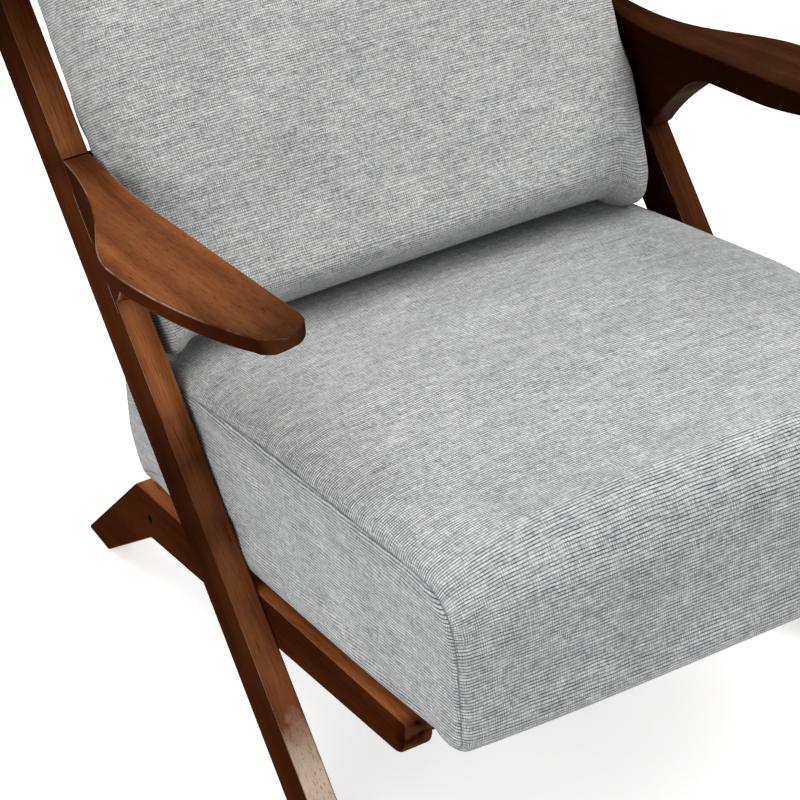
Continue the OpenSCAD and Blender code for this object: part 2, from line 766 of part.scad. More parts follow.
// o: outline, half: half width, flare: extra half width per unit of height, crown: swell,
// inset: how far all faces move in, seam: radius of the seam's edge, puff: puff of the band
function cushion_rings(o, half, flare, base, crown, power, inset, steps, seam, puff) =
    let (
        c = centre_of(o),
        w = half - inset,
        edge = [for (g = seam > 0 ? [0, 50, 90] : [90]) [seam * (1 - sin(g)), seam * (1 - cos(g))]],
        caps = puff > 0 ? [[0.35, 0], [0.75, puff * 0.35]] : [],
        outer = concat(
            [for (k = caps) [-1, w + puff - k[1], seam, k[0]]],
            [for (k = edge) [-1, w - k[1], k[0], 1]],
            [for (k = [1 : 2 * steps - 1]) let (u = 1 - k / steps) [-u, abs(u) * (w - seam), 0, 1]]
        ),
        back = concat([for (k = [len(edge) - 1 : -1 : 0]) [1, w - edge[k][1], edge[k][0], 1]],
            [for (k = [len(caps) - 1 : -1 : 0]) [1, w + puff - caps[k][1], seam, caps[k][0]]])
    )
    [
        for (l = concat(outer, back))
            let (
                side = l[0] < 0 ? -1 : 1,
                f = crown_at(min(l[1] / w, 1), power)
            )
            [
                for (q = o)
                    let (
                        p0 = swell(q, crown, f) - (inset + l[2]) * q[1],
                        p = mix(c, p0, l[3])
                    )
                    [side * (l[1] + flare * (p[1] - base)), p[0], p[1]]
            ]
    ];
module cushion(o, half, flare, base, crown, power, inset, steps, seam, puff) {
    rings = cushion_rings(o, half, flare, base, crown, power, inset, steps, seam, puff);
    polyhedron([for (r = rings) each r], loft_faces(len(rings), len(o), 0));
}

// Seat
seat_half = inner_x - seat_gap;
seat_nose_h = 92;
seat_peak = -seat_peak_at;
seat_tail_h = 55;
seat_tail = 10;
function seat_corners(low, m) = [
    [-seat_front - seat_nose * low / seat_nose_h, low, low > 0 ? seat_edge_r / 2 : seat_edge_r, m],
    [-seat_front - seat_nose, seat_nose_h, 50, m],
    [-seat_front - seat_nose, seat_front_h, seat_top_r, m],
    [seat_peak, seat_mid_h, 400, m],
    [seat_rear - 12, seat_rear_h, 42, m],
    [seat_rear + seat_tail, seat_tail_h, 40, m],
    [seat_rear + seat_tail * low / seat_tail_h, low, low > 0 ? 12 : 10, m]
];
// The list above runs clockwise, so it is turned round
function flipped(c) = [for (i = [len(c) - 1 : -1 : 0]) c[i]];
seat_gain = seat_crown_gain / (seat_rear - seat_peak);
seat_crowns = [seat_front_crown, 3, seat_crown, 0, seat_gain, seat_peak];
frame_lo = seat_cover_t + soft_clear;
frame_hi = frame_lo + frame_t;
frame_x = seat_half - seat_cover_t - 2;
frame_front = -seat_front + seat_edge_r + 1;
frame_back = seat_rear - seat_cover_t - 7;
foam_lo = frame_hi + strap_t + soft_clear;
open_x = frame_x - frame_w + turn_in;
open_front = frame_front + turn_in;
open_back = frame_back - turn_in;

module seat_form(inset, m, steps, seam, low = 0) {
    cushion(rounded(flipped(seat_corners(low, m))), seat_half, 0, 0, seat_crowns, [4, 4, 4, 4],
        inset, steps, seam, 0);
}
module seat_cover() {
    color(cloth)
        in_seat()
            difference() {
                seat_form(0, 5, 7, 6);
                seat_form(seat_cover_t, 2, 3, 0);
                // Opening underneath, inside the turned-in margin
                translate([-open_x, open_front, -1])
                    cube([2 * open_x, open_back - open_front, seat_cover_t + 2]);
            }
}
module seat_foam() {
    color(foam)
        in_seat()
            seat_form(seat_cover_t + soft_clear, 2, 3, 0, foam_lo - seat_cover_t - soft_clear);
}

// Boards of the seat's inner frame, joined at their ends, with blocks in the corners
module frame_board(x, s, w, l) {
    translate([x, s, frame_lo])
        cube([w, l, frame_t]);
}
module seat_frame_side() {
    difference() {
        frame_board(frame_x - frame_w, frame_front, frame_w, frame_back - frame_front);
        for (s = cross_starts)
            translate([seat_screw_x, s + cross_w / 2, frame_lo - 1])
                cylinder(d = screw_d + 2 * hole_clear, h = screw_len - cross_h - frame_lo + end_clear + 1);
    }
}
module seat_frame_left() { color(inner_wood) in_seat() on_side(-1) seat_frame_side(); }
module seat_frame_right() { color(inner_wood) in_seat() on_side(1) seat_frame_side(); }
module seat_frame_front() {
    color(inner_wood)
        in_seat()
            frame_board(-frame_x + frame_w, frame_front, 2 * (frame_x - frame_w), frame_w);
}
module seat_frame_rear() {
    color(inner_wood)
        in_seat()
            frame_board(-frame_x + frame_w, frame_back - frame_w, 2 * (frame_x - frame_w), frame_w);
}
block_side = 55;
module seat_corner_blocks() {
    x = frame_x - frame_w;
    color(inner_wood)
        in_seat()
            both_sides()
                for (k = [[frame_front + frame_w, 1], [frame_back - frame_w, -1]])
                    translate([x, k[0], frame_lo])
                        linear_extrude(frame_t)
                            polygon([[0, 0], [-block_side, 0], [0, k[1] * block_side]]);
}

strap_span = frame_back - frame_front - 2 * frame_w;
module seat_strap(i) {
    s = frame_front + frame_w + strap_span * (i - 0.5) / straps - strap_w / 2;
    color(black)
        in_seat()
            translate([-frame_x + 8, s, frame_hi])
                cube([2 * (frame_x - 8), strap_w, strap_t]);
}
module seat_strap_1() { seat_strap(1); }
module seat_strap_2() { seat_strap(2); }
module seat_strap_3() { seat_strap(3); }
module seat_strap_4() { seat_strap(4); }
module seat_strap_5() { seat_strap(5); }

dust_t = 1.2;
module dust_cover() {
    gap = screw_d / 2 + 1;
    color(black)
        in_seat()
            translate([-seat_screw_x + gap, open_front + soft_clear, frame_lo - dust_t])
                cube([2 * (seat_screw_x - gap), open_back - open_front - 2 * soft_clear, dust_t]);
}
module seat_screws() {
    color(steel)
        in_seat()
            both_sides()
                for (s = cross_starts)
                    translate([seat_screw_x, s + cross_w / 2, -cross_h]) {
                        cylinder(d = screw_head_d, h = screw_head_t);
                        cylinder(d = screw_d, h = screw_len);
                    }
}

// Back cushion
cushion_n = back_n - cushion_gap;
cushion_rear_n = cushion_n - cushion_back_crown;
cushion_half = cushion_w / 2;
cushion_lean = cushion_flare / 2 / cushion_h;
cushion_crowns = [cushion_crown, cushion_back_crown, cushion_top_crown, -cushion_sag, 0, 0];
// The cushion's rounded bottom rests just clear of the seat's crown, which runs straight
// from its highest place to its rear edge
seat_top_a = seat_point(seat_peak, seat_mid_h + seat_crown);
seat_top_b = seat_point(seat_rear - 12, seat_rear_h + seat_crown + seat_gain * (seat_rear - 12 - seat_peak));
seat_top_n = left_of(unit(seat_top_b - seat_top_a));
lie_n = seat_top_n * back_n_dir;
lie_v = seat_top_n * back_v_dir;
bottom_reach = norm([
    (cushion_bottom_r + cushion_back_crown) * lie_n,
    (cushion_bottom_r - cushion_sag) * lie_v
]);
cushion_lo = (seat_top_a * seat_top_n + soft_clear + bottom_reach
    - lie_n * (cushion_rear_n - cushion_bottom_r)) / lie_v - cushion_bottom_r;
function cushion_corners(m) = [
    [cushion_rear_n - cushion_t, cushion_lo, cushion_bottom_r, m],
    [cushion_rear_n, cushion_lo, cushion_bottom_r, m],
    [cushion_rear_n, cushion_lo + cushion_h, cushion_rear_r, m],
    [cushion_rear_n - cushion_t, cushion_lo + cushion_h, cushion_top_r, m]
];
module back_form(inset, m, steps, seam, puff) {
    cushion(rounded(cushion_corners(m)), cushion_half, cushion_lean, cushion_lo, cushion_crowns, [4, 8, 4, 4],
        inset, steps, seam, puff);
}
zip_v = cushion_lo + zip_up;
zip_tape_t = 1;
zip_groove = 3.6;
slider_len = 12;
slider_w = 9;
slider_t = 2.1;
module back_cover() {
    color(cloth)
        in_back()
            difference() {
                back_form(0, 7, 7, 6, 3);
                back_form(cushion_cover_t, 3, 3, 0, 0);
                // Sunk channel for the zip
                translate([-zip_len / 2 - soft_clear, cushion_n - zip_groove, zip_v - zip_w / 2 - soft_clear])
                    cube([zip_len + 2 * soft_clear, zip_groove + 1, zip_w + 2 * soft_clear]);
            }
}
module back_foam() {
    color(foam)
        in_back()
            back_form(cushion_cover_t + soft_clear, 3, 3, 0, 0);
}
module zip_tape() {
    color(black)
        in_back()
            translate([-zip_len / 2, cushion_n - zip_groove, zip_v - zip_w / 2])
                cube([zip_len, zip_tape_t, zip_w]);
}
module zip_slider() {
    n = cushion_n - zip_groove + zip_tape_t + 0.1;
    color(steel)
        in_back()
            translate([zip_len / 2 - slider_len - 6, n, zip_v - slider_w / 2])
                cube([slider_len, slider_t, slider_w]);
}

post_left();
post_right();
side_rail_left();
side_rail_right();
arm_left();
arm_right();
front_cross_rail();
rear_cross_rail();
crest_rail();
lower_back_rail();
spindle_1();
spindle_2();
spindle_3();
spindle_4();
spindle_5();
spindle_6();
spindle_7();
arm_dowels();
cross_rail_dowels();
back_rail_dowels();
frame_bolts();
threaded_inserts();
knee_plugs();
foot_glides();
seat_frame_front();
seat_frame_rear();
seat_frame_left();
seat_frame_right();
seat_corner_blocks();
seat_strap_1();
seat_strap_2();
seat_strap_3();
seat_strap_4();
seat_strap_5();
seat_foam();
seat_cover();
dust_cover();
seat_screws();
back_cover();
back_foam();
zip_tape();
zip_slider();
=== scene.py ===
import bmesh
import bpy
import math
import numpy as np
from mathutils import Matrix, Vector


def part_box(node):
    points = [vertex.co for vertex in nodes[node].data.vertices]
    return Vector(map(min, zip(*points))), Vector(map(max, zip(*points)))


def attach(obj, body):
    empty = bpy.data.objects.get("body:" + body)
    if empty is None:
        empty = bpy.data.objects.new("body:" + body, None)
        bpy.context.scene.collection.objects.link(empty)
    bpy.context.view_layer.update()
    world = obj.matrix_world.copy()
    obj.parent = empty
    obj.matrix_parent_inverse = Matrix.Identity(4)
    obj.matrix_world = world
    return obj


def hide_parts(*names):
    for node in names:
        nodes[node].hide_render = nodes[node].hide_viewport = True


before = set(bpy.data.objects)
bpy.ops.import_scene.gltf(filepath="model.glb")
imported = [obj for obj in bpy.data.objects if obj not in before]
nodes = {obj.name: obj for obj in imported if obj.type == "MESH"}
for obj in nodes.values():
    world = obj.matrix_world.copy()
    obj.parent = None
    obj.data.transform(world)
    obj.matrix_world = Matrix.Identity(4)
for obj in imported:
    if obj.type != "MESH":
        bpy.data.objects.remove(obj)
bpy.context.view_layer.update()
scene = bpy.context.scene

# Sizes of the chair in millimetres and degrees, as in the part's source
# Boards: inner faces of the posts from the middle, thickness, eased edges, glides under the feet
INNER_X, BOARD_T, EDGE_R, FINE_EDGE_R, FOOT_R, GLIDE_T = 259.0, 26.0, 2.5, 0.4, 2.0, 2.0

# Posts
LEAN, DEPTH, POST_LEN, POST_TOP_R, POST_FOOT = 40.0, 58.0, 922.0, 10.0, 219.0

# Side rails, each in one piece with its rear leg
TILT, RAIL_TOP, RAIL_REACH, RAIL_FRONT_D, RAIL_KNEE_D = 8.7, 182.4, 325.0, 38.0, 55.0
RAIL_UNDERCUT, RAIL_UNDERCUT_R, RAIL_NOSE_R = 8.0, 26.0, 3.0
KNEE_Y, KNEE_R, KNEE_IN_Y, KNEE_IN_R, LEG_Y, LEG_LEN = 218.0, 18.0, 198.0, 25.0, 331.0, 50.0

# Arms: main sizes, glued joint, eased edges
ARM_Z, ARM_REACH, ARM_W, ARM_T, ARM_EDGE_T, ARM_RISE = 507.0, 235.0, 78.0, 28.0, 15.0, 7.5
ARM_ROOT, ARM_HEEL, ARM_EDGE_R = 133.5, 10.0, 3.2
ARM_LEVEL, ARM_BEND_R = 91.0, 40.0
ARM_DROOP, ARM_DROOP_LEN = 3.0, 215.0
# Their plan: widest place, sweep behind it, curve in front of it, closing round the tip
ARM_WIDE, ARM_SWEEP, ARM_FLARE = 215.0, 116.0, 62.0
ARM_TAPER, ARM_NOSE, ARM_NOSE_IN, ARM_TIP_IN = 70.0, 48.0, 15.0, 41.0
TIP_OUT, TIP_IN, TIP_X, TIP_FROM = 16.0, 26.0, 20.0, 0.9
# Their underside: deepening, thinning of the outer edge, bracket
ARM_DEEP_FROM, ARM_DEEPEN, ARM_THIN = 33.0, 150.0, 75.0
ARM_UNDER, BRACKET_OUT, BRACKET_IN, BRACKET_TURN = 191.0, 33.0, 51.0, 36.0

# Cross rails under the seat
CROSS_W, CROSS_H, CROSS_SETBACK, CROSS_REAR, SEAT_LIFT = 45.0, 30.0, 4.0, 146.0, 11.0

# Back frame
BACK_LEAN, RAIL_T, CREST_H, LOWER_H, BACK_H = 31.0, 14.0, 46.0, 33.0, 275.0
CREST_DROP, CREST_INSET, RAIL_EDGE_R = 11.0, 4.7, 3.0
SPINDLES, SPINDLE_PITCH, SPINDLE_D, SPINDLE_NECK_D = 7, 60.0, 13.0, 9.5

# Cushions
SEAT_HALF, SEAT_FRONT, SEAT_REAR, SEAT_NOSE, SEAT_FRONT_H = 256.0, 416.0, 207.0, 16.0, 143.0
SEAT_MID_H, SEAT_PEAK, SEAT_REAR_H, SEAT_TOP_R = 152.5, 130.0, 136.0, 34.0
SEAT_CROWNS, SEAT_GAIN = (7, 3, 27, 0), 9 / 337
BACK_HALF, BACK_FLARE, BACK_HEIGHT, BACK_T, BACK_LOW = 247.0, 6.0, 453.0, 66.0, 359.62
BACK_CROWNS, BACK_GAP, BACK_CLEAR = (30, 20, 8, -5), 0.5, 0.4
BACK_BOTTOM_R, BACK_TOP_R, BACK_REAR_R = 30.0, 36.0, 24.0
CUSHION_LIMIT = 258.6  # just inside the posts
ZIP_LEN, ZIP_W, ZIP_UP, ZIP_GROOVE = 320.0, 22.0, 71.0, 3.6

# Grids of the cushions: spacing, roundness of the side seams, depth of the sewn line
PITCH, SEAM_R = 6.0, 11.0
SEAM_TURNS = ((76, 0.0), (62, 0.25), (45, 0.8), (30, 0.25), (15, 0.0), (0, 0.0))
SIDE_PANEL = 300.0  # third coordinate of the cloth on the side panels


rad = math.radians


def sind(a):
    return math.sin(rad(a))


def cosd(a):
    return math.cos(rad(a))


def tand(a):
    return math.tan(rad(a))


def mix(a, b, t):
    return a + (b - a) * t


def ease(v, low=0.0, high=1.0):
    """0 below low, 1 above high, smooth between."""
    u = np.clip((v - low) / (high - low), 0, 1)
    return u * u * (3 - 2 * u)


def bez(a, b, c, d, t):
    a, b, c, d = (np.array(v, float) for v in (a, b, c, d))
    return a * (1 - t) ** 3 + 3 * b * t * (1 - t) ** 2 + 3 * c * t * t * (1 - t) + d * t ** 3


# Shapes

def rounded(corners):
    """Outline with rounded corners [y, z, radius, steps]: points and their outward normals."""
    out = []
    for i, (cy, cz, r, steps) in enumerate(corners):
        p = np.array([cy, cz], float)
        a = np.array(corners[i - 1][:2], float)
        b = np.array(corners[(i + 1) % len(corners)][:2], float)
        u = (p - a) / np.linalg.norm(p - a)
        v = (b - p) / np.linalg.norm(b - p)
        bend = math.degrees(math.atan2(u[0] * v[1] - u[1] * v[0], u @ v))
        s = -1 if bend < 0 else 1
        left_u, left_v = np.array([-u[1], u[0]]), np.array([-v[1], v[0]])
        mid = p + s * (left_u + left_v) * r / (1 + u @ v)
        start = math.degrees(math.atan2(-left_u[1], -left_u[0]))
        for k in range(steps + 1):
            g = start + bend * k / steps
            q = np.array([cosd(g), sind(g)])
            out.append((mid + s * r * q, q))
    return out


def mesh_object(name, verts, faces, smooth=True):
    me = bpy.data.meshes.new(name)
    me.from_pydata([tuple(v) for v in verts], [], faces)
    me.validate()
    me.polygons.foreach_set("use_smooth", [smooth] * len(me.polygons))
    me.update()
    o = bpy.data.objects.new(name, me)
    scene.collection.objects.link(o)
    return o


def loft(rings):
    """Points and faces of a body through rings of n points, its ends closed."""
    n, m = len(rings[0]), len(rings)
    verts = [p for r in rings for p in r]
    faces = []
    for j in range(m - 1):
        for i in range(n):
            k = (i + 1) % n
            faces.append((j * n + i, (j + 1) * n + i, (j + 1) * n + k, j * n + k))
    faces.append(tuple(range(n)))
    faces.append(tuple((m - 1) * n + i for i in range(n - 1, -1, -1)))
    return verts, faces


def edge_mask(o, values):
    """1 on the ridges of a wooden piece, where its stain rubs off and a highlight is painted, and 0
    on its faces.
    """
    a = o.data.attributes.new("edge", "FLOAT", "POINT")
    a.data.foreach_set("value", np.array(values, np.float32))


def weigh(o):
    m = o.modifiers.new("normals", "WEIGHTED_NORMAL")
    m.weight = 90
    m.keep_sharp = True


def fix_normals(o):
    bm = bmesh.new()
    bm.from_mesh(o.data)
    bmesh.ops.recalc_face_normals(bm, faces=bm.faces[:])
    bm.to_mesh(o.data)
    bm.free()
    o.data.update()


def wooden(name, rings, mask):
    """A wooden piece through closed rings of points."""
    o = mesh_object(name, *loft(rings))
    edge_mask(o, mask)
    fix_normals(o)
    weigh(o)
    return o


# Angles round the eased edges, each with its share of the ridge
BOARD_TURNS = ((0, 0.0), (22, 0.4), (45, 1.0), (68, 0.4), (90, 0.0))
ARM_TURNS = ((0, 0.0), (18, 0.4), (36, 1.0), (54, 1.0), (72, 0.4), (90, 0.0))


def board(name, corners, x0, t, r, side=1, turn=None, shift=(0, 0, 0)):
    """A board across X from x0, t thick, with edges eased by r. turn: angle about X in degrees,
    shift in mm."""
    outline = rounded(corners)
    r = min(r, t / 2)
    levels = [(r * (1 - sind(g)), r * (1 - cosd(g)), ridge) for g, ridge in BOARD_TURNS]
    levels += [(inset, t - x, ridge) for inset, x, ridge in reversed(levels)]
    rings, mask = [], []
    for inset, x, ridge in levels:
        rings.append([((x0 + x) * side, *(p - inset * q)) for p, q in outline])
        mask += [ridge] * len(outline)
    verts, faces = loft(rings)
    if side > 0:
        faces = [tuple(reversed(f)) for f in faces]
    v = np.array(verts, float)
    if turn is not None:
        c, s = cosd(turn), sind(turn)
        y, z = v[:, 1].copy(), v[:, 2].copy()
        v[:, 1], v[:, 2] = y * c - z * s, y * s + z * c
    v = (v + np.array(shift, float)) / 1000
    o = mesh_object(name, v, faces)
    edge_mask(o, mask)
    weigh(o)
    return o


# Along a post and out of its front face, as (y, z)
POST_DIR = np.array([sind(LEAN), cosd(LEAN)])
POST_OUT = np.array([-cosd(LEAN), sind(LEAN)])


def post_front(z):
    return -POST_FOOT + tand(LEAN) * z


def rail_z(y):
    return RAIL_TOP - tand(TILT) * y


def rail_under(y):
    share = (y + RAIL_REACH) / (KNEE_IN_Y + RAIL_REACH)
    return rail_z(y) - mix(RAIL_FRONT_D, RAIL_KNEE_D, share)


def section(y, z, w, h):
    """Corners of a small rail's section, w x h."""
    r = RAIL_EDGE_R
    return [[y, z, r, 4], [y + w, z, r, 4], [y + w, z + h, r, 4], [y, z + h, r, 4]]


# Darkened bands (painted shade over some stain collected where pieces meet), the foot's painted
# sheen and the reach of the rubbed ridges with their painted highlight, in mm along the grain: see
# wood()
POST_SHADE_AND_STAIN = [(521, 22, 0.5), (700, 165, 1.0), (235, 60, 0.7), (175, 60, 0.7), (110, 60, 0.35)]
POST_PAINTED_SHEEN = -4
# Side rails: a raised tone paints light on their tops, and the faces that look sideways get painted
# shade
RAIL_LOOK = dict(tone=1.8, rub_and_highlight=0.55, joints=[(-364, 24, 1.3)], pale_ridges_to=-90, side=0.5)
ARM_SHADE_AND_STAIN = [(170, 90, 0.60), (-268, 130, 0.75)]
ARM_GRAIN = 4  # slope of the arms' grain
# Side, post's and arm's tone, and the arm's rubbed ridges with their painted highlight: the right
# side's pieces are painted darker, as painted shade
SIDES = ((-1, "left", 0.95, 0.90, 0.8), (1, "right", 0.34, 0.19, 0.0))


def build_frame():
    """All wooden pieces. Returns the place of the back rails' front faces, square to the back."""
    heel = post_front(GLIDE_T)
    head = np.array([-POST_FOOT, 0.0]) + POST_LEN * POST_DIR
    post = [
        [heel, GLIDE_T, FOOT_R, 3],
        [heel + DEPTH / cosd(LEAN), GLIDE_T, FOOT_R, 3],
        [*(head - DEPTH * POST_OUT), POST_TOP_R, 10],
        [*head, POST_TOP_R, 10],
    ]
    undercut = -RAIL_REACH + RAIL_UNDERCUT
    rail = [
        [undercut, rail_under(undercut), RAIL_UNDERCUT_R, 12],
        [KNEE_IN_Y, rail_under(KNEE_IN_Y), KNEE_IN_R, 12],
        [LEG_Y, GLIDE_T, FOOT_R, 3],
        [LEG_Y + LEG_LEN, GLIDE_T, FOOT_R, 3],
        [KNEE_Y, rail_z(KNEE_Y), KNEE_R, 12],
        [-RAIL_REACH, rail_z(-RAIL_REACH), RAIL_NOSE_R, 4],
    ]
    for s, tag, post_shade_tone, arm_shade_tone, arm_rub_and_highlight in SIDES:
        piece = board("wood_post_" + tag, post, INNER_X, BOARD_T, EDGE_R, s)
        done(piece, "post_" + tag, wood("post_" + tag, (LEAN - 90, 0, 0), 3.1 * s, post_shade_tone,
                                        joints=POST_SHADE_AND_STAIN, painted_sheen_below=POST_PAINTED_SHEEN))
        piece = board("wood_side_rail_" + tag, rail, INNER_X - BOARD_T, BOARD_T, EDGE_R, s)
        done(piece, "side_rail_" + tag, wood("rail_" + tag, (TILT, 0, 0), 5.3 * s, **RAIL_LOOK))
        piece = arm("wood_arm_" + tag, s)
        done(piece, "arm_" + tag, wood("arm_" + tag, (ARM_GRAIN, 0, 0), 7.7 * s, arm_shade_tone,
                                       arm_rub_and_highlight, ARM_SHADE_AND_STAIN))
    seat_z = RAIL_TOP + SEAT_LIFT / cosd(TILT)
    half = INNER_X - BOARD_T
    for tag, y in (("front", -RAIL_REACH + CROSS_SETBACK), ("rear", CROSS_REAR)):
        piece = board("wood_cross_rail_" + tag, section(y, -CROSS_H, CROSS_W, CROSS_H),
                      -half, 2 * half, FINE_EDGE_R, 1, -TILT, (0, 0, seat_z))
        done(piece, tag + "_cross_rail", wood("cross_" + tag, (0, 0, 90), y * 0.01))
    crest = head - CREST_DROP * POST_DIR - CREST_INSET * POST_OUT
    n0 = crest @ np.array([cosd(BACK_LEAN), -sind(BACK_LEAN)])
    top = crest @ np.array([sind(BACK_LEAN), cosd(BACK_LEAN)])
    foot = top - BACK_H
    for tag, v, h in (("crest_rail", top - CREST_H, CREST_H), ("lower_back_rail", foot, LOWER_H)):
        piece = board("wood_" + tag, section(n0, v, RAIL_T, h), -INNER_X, 2 * INNER_X,
                      FINE_EDGE_R, 1, -BACK_LEAN)
        done(piece, tag, wood(tag, (0, 0, 90), v * 0.01))
    for i in range(1, SPINDLES + 1):
        piece = spindle(i, n0 + RAIL_T / 2, foot + LOWER_H, top - CREST_H)
        done(piece, "spindle_%d" % i,
             wood("spindle_%d" % (i % 3), (BACK_LEAN - 90, 0, 0), i * 1.7))
    return n0


def spindle(i, n, lo, hi):
    """A turned spindle between lo and hi along the back, let in a little at both ends."""
    c, s = cosd(BACK_LEAN), sind(BACK_LEAN)
    rings, mask = [], []
    count, steps, let_in = 24, 22, 0.4
    for k in range(steps + 1):
        t = k / steps
        r = mix(SPINDLE_NECK_D, SPINDLE_D, sind(180 * t)) / 2
        v = mix(lo - let_in, hi + let_in, t)
        ring = []
        for j in range(count):
            g = 360 * j / count
            x, d = (i - (SPINDLES + 1) / 2) * SPINDLE_PITCH + r * cosd(g), n + r * sind(g)
            ring.append((x / 1000, (d * c + v * s) / 1000, (-d * s + v * c) / 1000))
        rings.append(ring)
        mask += [0.25 * (t < 0.02 or t > 0.98)] * count
    return wooden("wood_spindle_%d" % i, rings, mask)


def closing(e, reach):
    """How far an outline has opened at a distance e from its tip, closing over reach."""
    return math.sqrt(max(0, 1 - (1 - e / reach) ** 2)) if e < reach else 1


def arm(name, side):
    """The sculpted paddle arm: sections along its outline, square to the inner side."""
    head = np.array([post_front(ARM_Z), ARM_Z])
    foot = head - ARM_ROOT * POST_DIR
    heel = foot + ARM_HEEL * POST_OUT
    bend_y = head[0] - ARM_LEVEL
    wide_y, under_y = -ARM_REACH + ARM_WIDE, head[0] - ARM_UNDER

    def top(y):
        u = bend_y - y
        if abs(u) <= ARM_BEND_R:
            u = (u + ARM_BEND_R) ** 2 / (4 * ARM_BEND_R)
        return ARM_Z + tand(ARM_RISE) * max(u, 0)

    def depth(y):
        return mix(ARM_EDGE_T, ARM_T, ease((y + ARM_REACH - ARM_DEEP_FROM) / ARM_DEEPEN))

    def back(t):
        return bez([head[0], BOARD_T], [head[0] - ARM_SWEEP, BOARD_T],
                   [wide_y + ARM_FLARE, ARM_W], [wide_y, ARM_W], t)

    def front(t):
        return bez([wide_y, ARM_W], [wide_y - ARM_TAPER, ARM_W],
                   [-ARM_REACH + ARM_NOSE, ARM_W - ARM_NOSE_IN],
                   [-ARM_REACH, ARM_W - ARM_TIP_IN], t)

    # The outer edge from the post to the tip: places along the arm with the width there
    line = [back(0), back(0.015), back(0.045)]
    line += [back(mix(0.045, 1, k / 34)) for k in range(1, 35)]
    line += [front(k / 60 * TIP_FROM) for k in range(1, 61)]
    q = front(TIP_FROM)
    for g in range(81, -1, -3):
        line.append(np.array([-ARM_REACH + min(TIP_OUT, q[0] + ARM_REACH) * (1 - cosd(g)), q[1]]))
    root = line[2][0]

    def under(y):
        """The underside's inner edge: glued joint, bracket, then the paddle."""
        if y >= root:
            return mix(heel, foot, (y - root) / (head[0] - root))
        if y <= under_y:
            return np.array([y, top(y) - depth(y)])
        t = (y - under_y) / (root - under_y)
        a = np.array([under_y, top(under_y) - depth(under_y)])
        return bez(a, a + BRACKET_OUT * np.array([cosd(ARM_RISE), -sind(ARM_RISE)]),
                   heel + BRACKET_IN * np.array([-sind(BRACKET_TURN), cosd(BRACKET_TURN)]),
                   heel, t)

    rings, mask = [], []
    for y, d in line:
        e = y + ARM_REACH
        open_out = closing(e, TIP_OUT)
        xi = TIP_X * (1 - closing(e, TIP_IN))
        xo = TIP_X + (d - TIP_X) * open_out + 2 * (1 - open_out)
        pinch = 0
        if e < ARM_EDGE_R:
            pinch = ARM_EDGE_R - math.sqrt(max(0, ARM_EDGE_R ** 2 - (ARM_EDGE_R - e) ** 2))
        tp = np.array([y, top(y) - pinch])
        low_in = under(y) + np.array([0, pinch])
        low_out = mix(low_in, np.array([y, tp[1] - ARM_EDGE_T + 2 * pinch]),
                      ease((bend_y - y) / ARM_THIN))
        w = xo - xi
        r = min(ARM_EDGE_R, w * 0.4)
        droop = ARM_DROOP * ease((head[0] - y) / ARM_DROOP_LEN)
        ring = []
        for cx0, cz0, g0 in ((0, 0, 180), (1, 0, 270), (1, 1, 0), (0, 1, 90)):
            for g, ridge in ARM_TURNS:
                cx = mix(r, w - r, cx0) + r * cosd(g0 + g)
                a = cx / w
                h = mix(np.linalg.norm(tp - low_in), np.linalg.norm(tp - low_out), a)
                k = min(r, h * 0.4)
                b = (mix(k, h - k, cz0) + k * sind(g0 + g)) / h
                p = mix(mix(low_in, low_out, a), tp, b) - np.array([0, droop * a])
                ring.append((side * (INNER_X + xi + cx) / 1000, p[0] / 1000, p[1] / 1000))
                mask.append(ridge)
        rings.append(ring)
    return wooden(name, rings, mask)


def done(piece, node, material, body="frame"):
    piece.data.materials.clear()
    piece.data.materials.append(material)
    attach(piece, body)
    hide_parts(node)


# Materials

